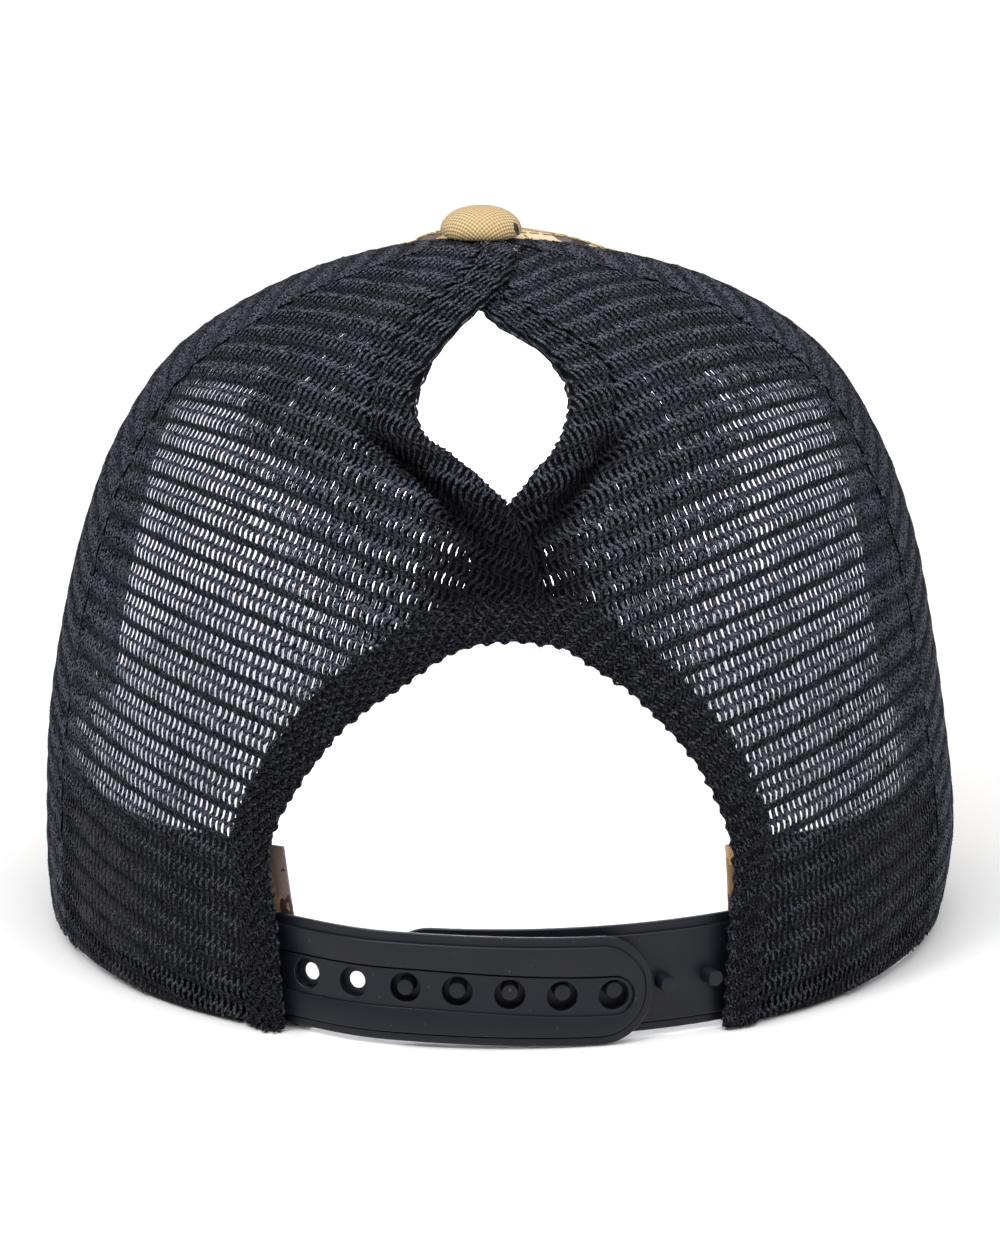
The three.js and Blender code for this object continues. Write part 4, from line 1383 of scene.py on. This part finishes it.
# Snap strap: two halves of moulded plastic, bent round the back of the crown.
STRAP_LOW = 1.3
STRAP_HALF = 11.0
STRAP_REACH = 96.4
STRAP_TUCK = -3.8
STRAP_PROUD = -0.3
HOLED_PROUD = (-30, -13)
HOLED_DIP = 1.1
HOLED_DIP_AT = (-15, 20)
HOLED_TIP_CENTRE = 20.6
STUDDED_TIP_CENTRE = -14.0
CHANNEL_END = 23.4
FIRST_HOLE = -39.45
SNAP_PITCH = 10.45
OPEN_HOLE_EXTRA = 0.6
FREE_STUD_SHIFT = 1.0
SNAP_DROP = 0.9
SNAP_DROP_AT = (-12, 13)
SHARP_ANGLE = math.radians(35)
SNAP_COUNT = 7
SNAPS_FREE = 2
STRAP_STEPS = 70
TIP_STEPS = 28
SNAP_STEPS = 40
# Half width of each line of the section with its height below and above the middle line, from the back
# over the flange along the edge to the field and the channel of the holes.
EDGE_SECTION = (
    (10.7, -1.6, -1.6), (11.0, -1.4, -1.4), (11.0, -0.85, -0.85), (10.8, -0.7, -0.7), (9.5, -0.7, -0.7),
    (9.38, -1.25, -0.7), (9.18, -1.25, -0.7), (9.08, -0.15, -0.15), (8.9, 0.0, 0.0),
)
CHANNEL_SECTION = (
    (4.2, 0.0, 0.0), (4.05, -0.1, -0.1), (4.0, -0.5, -1.2), (3.66, -0.5, -1.2), (3.58, -0.5, -0.5),
)
CHANNEL_WIDEST = 4.2
# Each snap hole widens into a round well. The wells of the open holes have a floor with a smaller hole.
WELL_SECTION = ((3.0, -4.0), (3.0, -0.6), (3.15, -0.45), (3.15, 1.5))
OPEN_HOLE_SECTION = ((1.72, -5.0), (1.72, -2.3), (1.8, -2.2), (2.95, -2.2), *WELL_SECTION[1:])
BOSS_SECTION = ((3.5, -2.5), (3.6, -2.4), (3.6, -1.2))
STUD_SECTION = ((1.85, -0.9), (1.7, 0.1), (1.6, 3.05), (1.52, 3.2), (1.3, 3.25))


def snap_along(n):
    """Place of a snap along the back: the open holes and the free studs stand a little wider apart."""
    spread = OPEN_HOLE_EXTRA * max(SNAPS_FREE - n, 0)
    shift = 0 if n < SNAP_COUNT else FREE_STUD_SHIFT
    return FIRST_HOLE + SNAP_PITCH * n - spread + shift


def snap_drop(along):
    return SNAP_DROP * smooth(np.degrees(along / STRAP_REACH), *SNAP_DROP_AT)


def strap_point(along, across, lift, holed):
    """A point of a strap half from its place along the back, its height from the middle line and its lift."""
    along, across, lift = np.broadcast_arrays(along, across, lift)
    azimuth = np.degrees(along / STRAP_REACH)
    face, dip = STRAP_TUCK, 0
    if holed:
        face = STRAP_TUCK + (STRAP_PROUD - STRAP_TUCK) * smooth(azimuth, *HOLED_PROUD)
        dip = HOLED_DIP * smooth(azimuth, *HOLED_DIP_AT)
    middle = STRAP_LOW + STRAP_HALF
    points = lifted(azimuth, level_at(middle), face + lift)
    points[..., 2] = middle - dip + across
    return points


def strap_line(half, centre, start):
    """Half of the strap's outline at a half width: along its lower edge and round the tip."""
    straight = np.linspace(start, centre, STRAP_STEPS, endpoint=False)
    turn = np.linspace(-math.pi / 2, math.pi / 2, TIP_STEPS + 1)
    tip = centre + math.copysign(half, centre - start) * np.cos(turn)
    along = np.concatenate((straight, tip, straight[::-1]))
    across = np.concatenate((np.full(STRAP_STEPS, -half), half * np.sin(turn), np.full(STRAP_STEPS, half)))
    return along, across


SAME_SPOT = 0.01


def facing_out(mesh, same_spot=0.0):
    """Turns the faces of a closed mesh outwards, after merging the points that are as close as same_spot."""
    rebuilt = bmesh.new()
    rebuilt.from_mesh(mesh)
    if same_spot:
        bmesh.ops.remove_doubles(rebuilt, verts=rebuilt.verts, dist=same_spot * MM)
    bmesh.ops.recalc_face_normals(rebuilt, faces=rebuilt.faces)
    rebuilt.to_mesh(mesh)
    rebuilt.free()
    return mesh


def strap_mesh(name, sections, start, holed):
    """Skins the section's outlines from the strap's back to its face, and closes the middle and the end."""
    rings = []
    for half, low, high, centre in sections:
        along, across = strap_line(half, centre, start)
        height = low + (high - low) * smooth(across / half, -1, 1)
        if half <= CHANNEL_WIDEST:
            across = across - snap_drop(along)
        rings.append(strap_point(along, across, height, holed))
    points = np.stack(rings)
    lines, count = points.shape[:2]
    at = lambda line, k: line * count + k
    faces = []
    for line in range(lines - 1):
        for k in range(count - 1):
            faces.append((at(line, k), at(line, k + 1), at(line + 1, k + 1), at(line + 1, k)))
    for line in (0, lines - 1):
        for k in range(count // 2):
            ring = (at(line, k), at(line, k + 1), at(line, count - 2 - k), at(line, count - 1 - k))
            faces.append(tuple(dict.fromkeys(ring)))
    end = [at(line, 0) for line in range(lines)] + [at(line, count - 1) for line in reversed(range(lines))]
    faces.append(tuple(end))
    mesh = mesh_of(name, points.reshape(-1, 3), faces)
    return facing_out(mesh, SAME_SPOT)


UPRIGHT = np.array((0, 0, 1.0))


def round_bars(name, section, places, holed):
    """Round bars square to the strap, each turned from a section of radius and lift."""
    points, faces = [], []
    angle = np.linspace(0, TAU, SNAP_STEPS, endpoint=False)
    for along in places:
        start = len(points)
        low = strap_point(along, -snap_drop(along), 0.0, holed)
        sideways = strap_point(along + 0.5, 0.0, 0.0, holed) - strap_point(along - 0.5, 0.0, 0.0, holed)
        sideways = unit(sideways * (1, 1, 0))
        out = np.array((sideways[1], -sideways[0], 0.0))
        for radius, height in section:
            circle = radius * (np.cos(angle)[:, None] * sideways + np.sin(angle)[:, None] * UPRIGHT)
            points += list(low + out * height + circle)
        for j in range(len(section) - 1):
            for i in range(SNAP_STEPS):
                a, b = start + j * SNAP_STEPS + i, start + j * SNAP_STEPS + (i + 1) % SNAP_STEPS
                faces.append((a, b, b + SNAP_STEPS, a + SNAP_STEPS))
        faces.append(tuple(range(start, start + SNAP_STEPS))[::-1])
        faces.append(tuple(range(len(points) - SNAP_STEPS, len(points))))
    mesh = mesh_of(name, points, faces)
    return facing_out(mesh)


def combined(name, mesh, other, operation):
    """Boolean of two meshes as a plain mesh."""
    first, second = link(name, mesh), link(name + "_tool", other)
    modifier = first.modifiers.new("cut", "BOOLEAN")
    modifier.operation = operation
    modifier.object = second
    modifier.solver = "EXACT"
    result = bpy.data.meshes.new_from_object(first.evaluated_get(bpy.context.evaluated_depsgraph_get()))
    for piece in (first, second):
        bpy.data.objects.remove(piece)
    result.name = name
    result.materials.clear()
    result.materials.append(PLASTIC)
    result.polygons.foreach_set("use_smooth", [True] * len(result.polygons))
    result.set_sharp_from_angle(angle=SHARP_ANGLE)
    return result


def strap():
    start = math.radians(-STRAP_TAB) * STRAP_REACH
    sections = [(*line, HOLED_TIP_CENTRE) for line in EDGE_SECTION]
    sections += [(*line, CHANNEL_END) for line in CHANNEL_SECTION]
    opened = [snap_along(n) for n in range(SNAPS_FREE)]
    filled = [snap_along(n) for n in range(SNAPS_FREE, SNAP_COUNT)]
    mesh = strap_mesh("strap_blade", sections, start, True)
    for section, places, operation in (
        (BOSS_SECTION, opened, "UNION"),
        (OPEN_HOLE_SECTION, opened, "DIFFERENCE"),
        (WELL_SECTION, filled, "DIFFERENCE"),
    ):
        mesh = combined("strap_blade", mesh, round_bars("snaps", section, places, True), operation)
    mesh.name = "strap_moulded_holed"
    dress("strap_moulded_holed", mesh, "strap_holed")
    sections = [(*line, STUDDED_TIP_CENTRE) for line in EDGE_SECTION]
    studs = [snap_along(n + SNAPS_FREE) for n in range(SNAP_COUNT)]
    mesh = strap_mesh("strap_blade", sections, -start, False)
    mesh = combined("strap_moulded_studded", mesh, round_bars("studs", STUD_SECTION, studs, False), "UNION")
    dress("strap_moulded_studded", mesh, "strap_studded")


# Stitching

# Height of a stitch's bow in thread radii, and the part of a half turn over which its thickness swells.
STITCH_BOW = 1.2
STITCH_TAPER = (0.1, 0.9)
STITCH_STEPS = 6
STITCH_VALUES = {
    "Stitch Pitch": 2.9 * MM,
    "Stitch Length": 2.3 * MM,
    "Thread Radius": 0.2 * MM,
    "Sides": 6,
    "Thread": TAN_THREAD,
}


def stitch_tree():
    """Stitches: short rounded threads one behind the other along each guide line."""
    tree = Tree("thread_stitches", STITCH_VALUES)
    curve = tree.node("GeometryNodeMeshToCurve", {"Mesh": tree["Geometry"]})
    sockets = {"Curve": curve.outputs[0], "Length": tree["Stitch Pitch"]}
    spots = tree.node("GeometryNodeCurveToPoints", sockets, mode="LENGTH").outputs
    sockets = {"Resolution": STITCH_STEPS}
    for end, axis, size, share in (
        ("Start", "Z", "Stitch Length", -0.5),
        ("Middle", "X", "Thread Radius", STITCH_BOW),
        ("End", "Z", "Stitch Length", 0.5),
    ):
        sockets[end] = tree.node("ShaderNodeCombineXYZ", {axis: tree.times(tree[size], share)}).outputs[0]
    arc = tree.node("GeometryNodeCurveQuadraticBezier", sockets)
    place = tree.node("GeometryNodeSplineParameter").outputs["Factor"]
    low, high = STITCH_TAPER
    bulge = tree.maths("SINE", tree.times(tree.plus(tree.times(place, high - low), low), math.pi))
    thread = tree.swept(arc.outputs[0], tree["Sides"], tree["Thread Radius"], tree.maths("POWER", bulge, 0.5))
    sockets = {"Points": spots["Points"], "Instance": thread, "Rotation": spots["Rotation"]}
    laid = tree.node("GeometryNodeInstanceOnPoints", sockets)
    return tree.finish(laid.outputs[0], tree["Thread"])


STITCHES_FROM_SEAM = (1.6, 4.2)
STITCHES_FROM = 30.0
STITCHES_TO = 0.96
STITCH_POINTS = 200
STITCH_LIFT = 0.08
STITCH_LEAST_ROUND = 9
STITCH_HEM_MARGIN = 1


def front_stitches():
    """Two rows beside each seam of the front panels. They stop short of the button."""
    tree = stitch_tree()
    level = np.linspace(level_at(STITCHES_FROM), STITCHES_TO, STITCH_POINTS)
    around = round_at(level, FRONT_LEAST_ROUND)
    for seam, side, node_name, word in (
        (FRONT_SEAM, 1, "front_panel_right", "right_side"),
        (180.0, -1, "front_panel_right", "right_middle"),
        (180.0, 1, "front_panel_left", "left_middle"),
        (360.0 - FRONT_SEAM, -1, "front_panel_left", "left_side"),
    ):
        rows = []
        for distance in STITCHES_FROM_SEAM:
            azimuth = seam + side * np.degrees(distance / around)
            above = crown_size("height", level) > hem_height(azimuth) + STITCH_HEM_MARGIN
            points = lifted(azimuth, level, front_face(azimuth, level) + STITCH_LIFT)
            rows.append({"point": points[above & (around > STITCH_LEAST_ROUND)]})
        name = "front_stitches_" + word
        mesh = grown(name, guide_mesh("guides", rows, ()), tree, STITCH_VALUES)
        dress(name, mesh, node_name)


knit_panels()
arch_binding()
hem_insides()
seam_folds()
hem_folds()
front_panels()
sweatband()
peak()
button()
strap()
front_stitches()


# Floor and light, in metres

FLOOR_SIZE = 6.0


def add_floor():
    half = FLOOR_SIZE / 2 / MM
    corners = ((-half, -half, 0), (half, -half, 0), (half, half, 0), (-half, half, 0))
    mesh = mesh_of("floor", corners, [(0, 1, 2, 3)])
    paper = Finish("floor_paper", roughness=0.9, specular=0.2)
    paper.colour(grey(0.9))
    mesh.materials.append(paper.material)
    link("floor", mesh)


SKY_STRENGTH = 0.3
OVERHEAD_POWER = 2.9
OVERHEAD_FROM = (0.0, -0.35, 1.0)
OVERHEAD_WIDTH = math.radians(75)
CAP_MIDDLE = (0, -0.03, 0.07)
# Lamps: name, place, the spot that they shine at, size and power, and for one the angle of its beam.
STUDIO_LAMPS = (
    ("key", (-0.55, -0.8, 1.0), CAP_MIDDLE, 0.3, 5.0),
    ("fill", (0.9, -0.8, 0.6), CAP_MIDDLE, 0.6, 1.5),
)
INSIDE_LAMPS = (
    ("inside_front", (0, -0.045, 0.08), (0, 0.06, 0.07), 0.04, 0.07, 70),
    ("inside_sides", (0, -0.045, 0.06), (0, 0.06, 0.06), 0.06, 0.03),
    ("inside_floor", (0, -0.02, 0.10), (0, -0.01, 0.0), 0.08, 0.15),
    ("under_peak", (0, 0.085, 0.026), (0, 0.085, 0.0), 0.05, 0.06),
)
INSIDE_TINT = (0.94, 0.95, 1.0)


def lamp(name, kind, power, towards):
    """A lamp that shines from the side where a direction points."""
    data = bpy.data.lights.new(name, kind)
    data.energy = power
    light = link(name, data)
    light.rotation_euler = Vector(towards).to_track_quat("Z", "Y").to_euler()
    return light


def area_light(name, place, target, size, power):
    light = lamp(name, "AREA", power, Vector(place) - Vector(target))
    light.data.size = size
    light.location = place
    return light


def inside_lamp(name, place, target, size, power, beam=180):
    """A small panel of light inside the cap, which makes its lining and the floor under it pale."""
    light = area_light(name, place, target, size, power)
    light.data.spread = math.radians(beam)
    light.data.color = INSIDE_TINT
    light.visible_camera = False


def add_light():
    scene = bpy.context.scene
    scene.view_settings.view_transform = "Standard"
    world = bpy.data.worlds.new("studio")
    world.use_nodes = True
    back = world.node_tree.nodes["Background"]
    back.inputs["Color"].default_value = (1, 1, 1, 1)
    back.inputs["Strength"].default_value = SKY_STRENGTH
    scene.world = world
    overhead = lamp("overhead", "SUN", OVERHEAD_POWER, OVERHEAD_FROM)
    overhead.data.angle = OVERHEAD_WIDTH
    for lamp_facts in STUDIO_LAMPS:
        area_light(*lamp_facts)
    for lamp_facts in INSIDE_LAMPS:
        inside_lamp(*lamp_facts)


add_floor()
add_light()
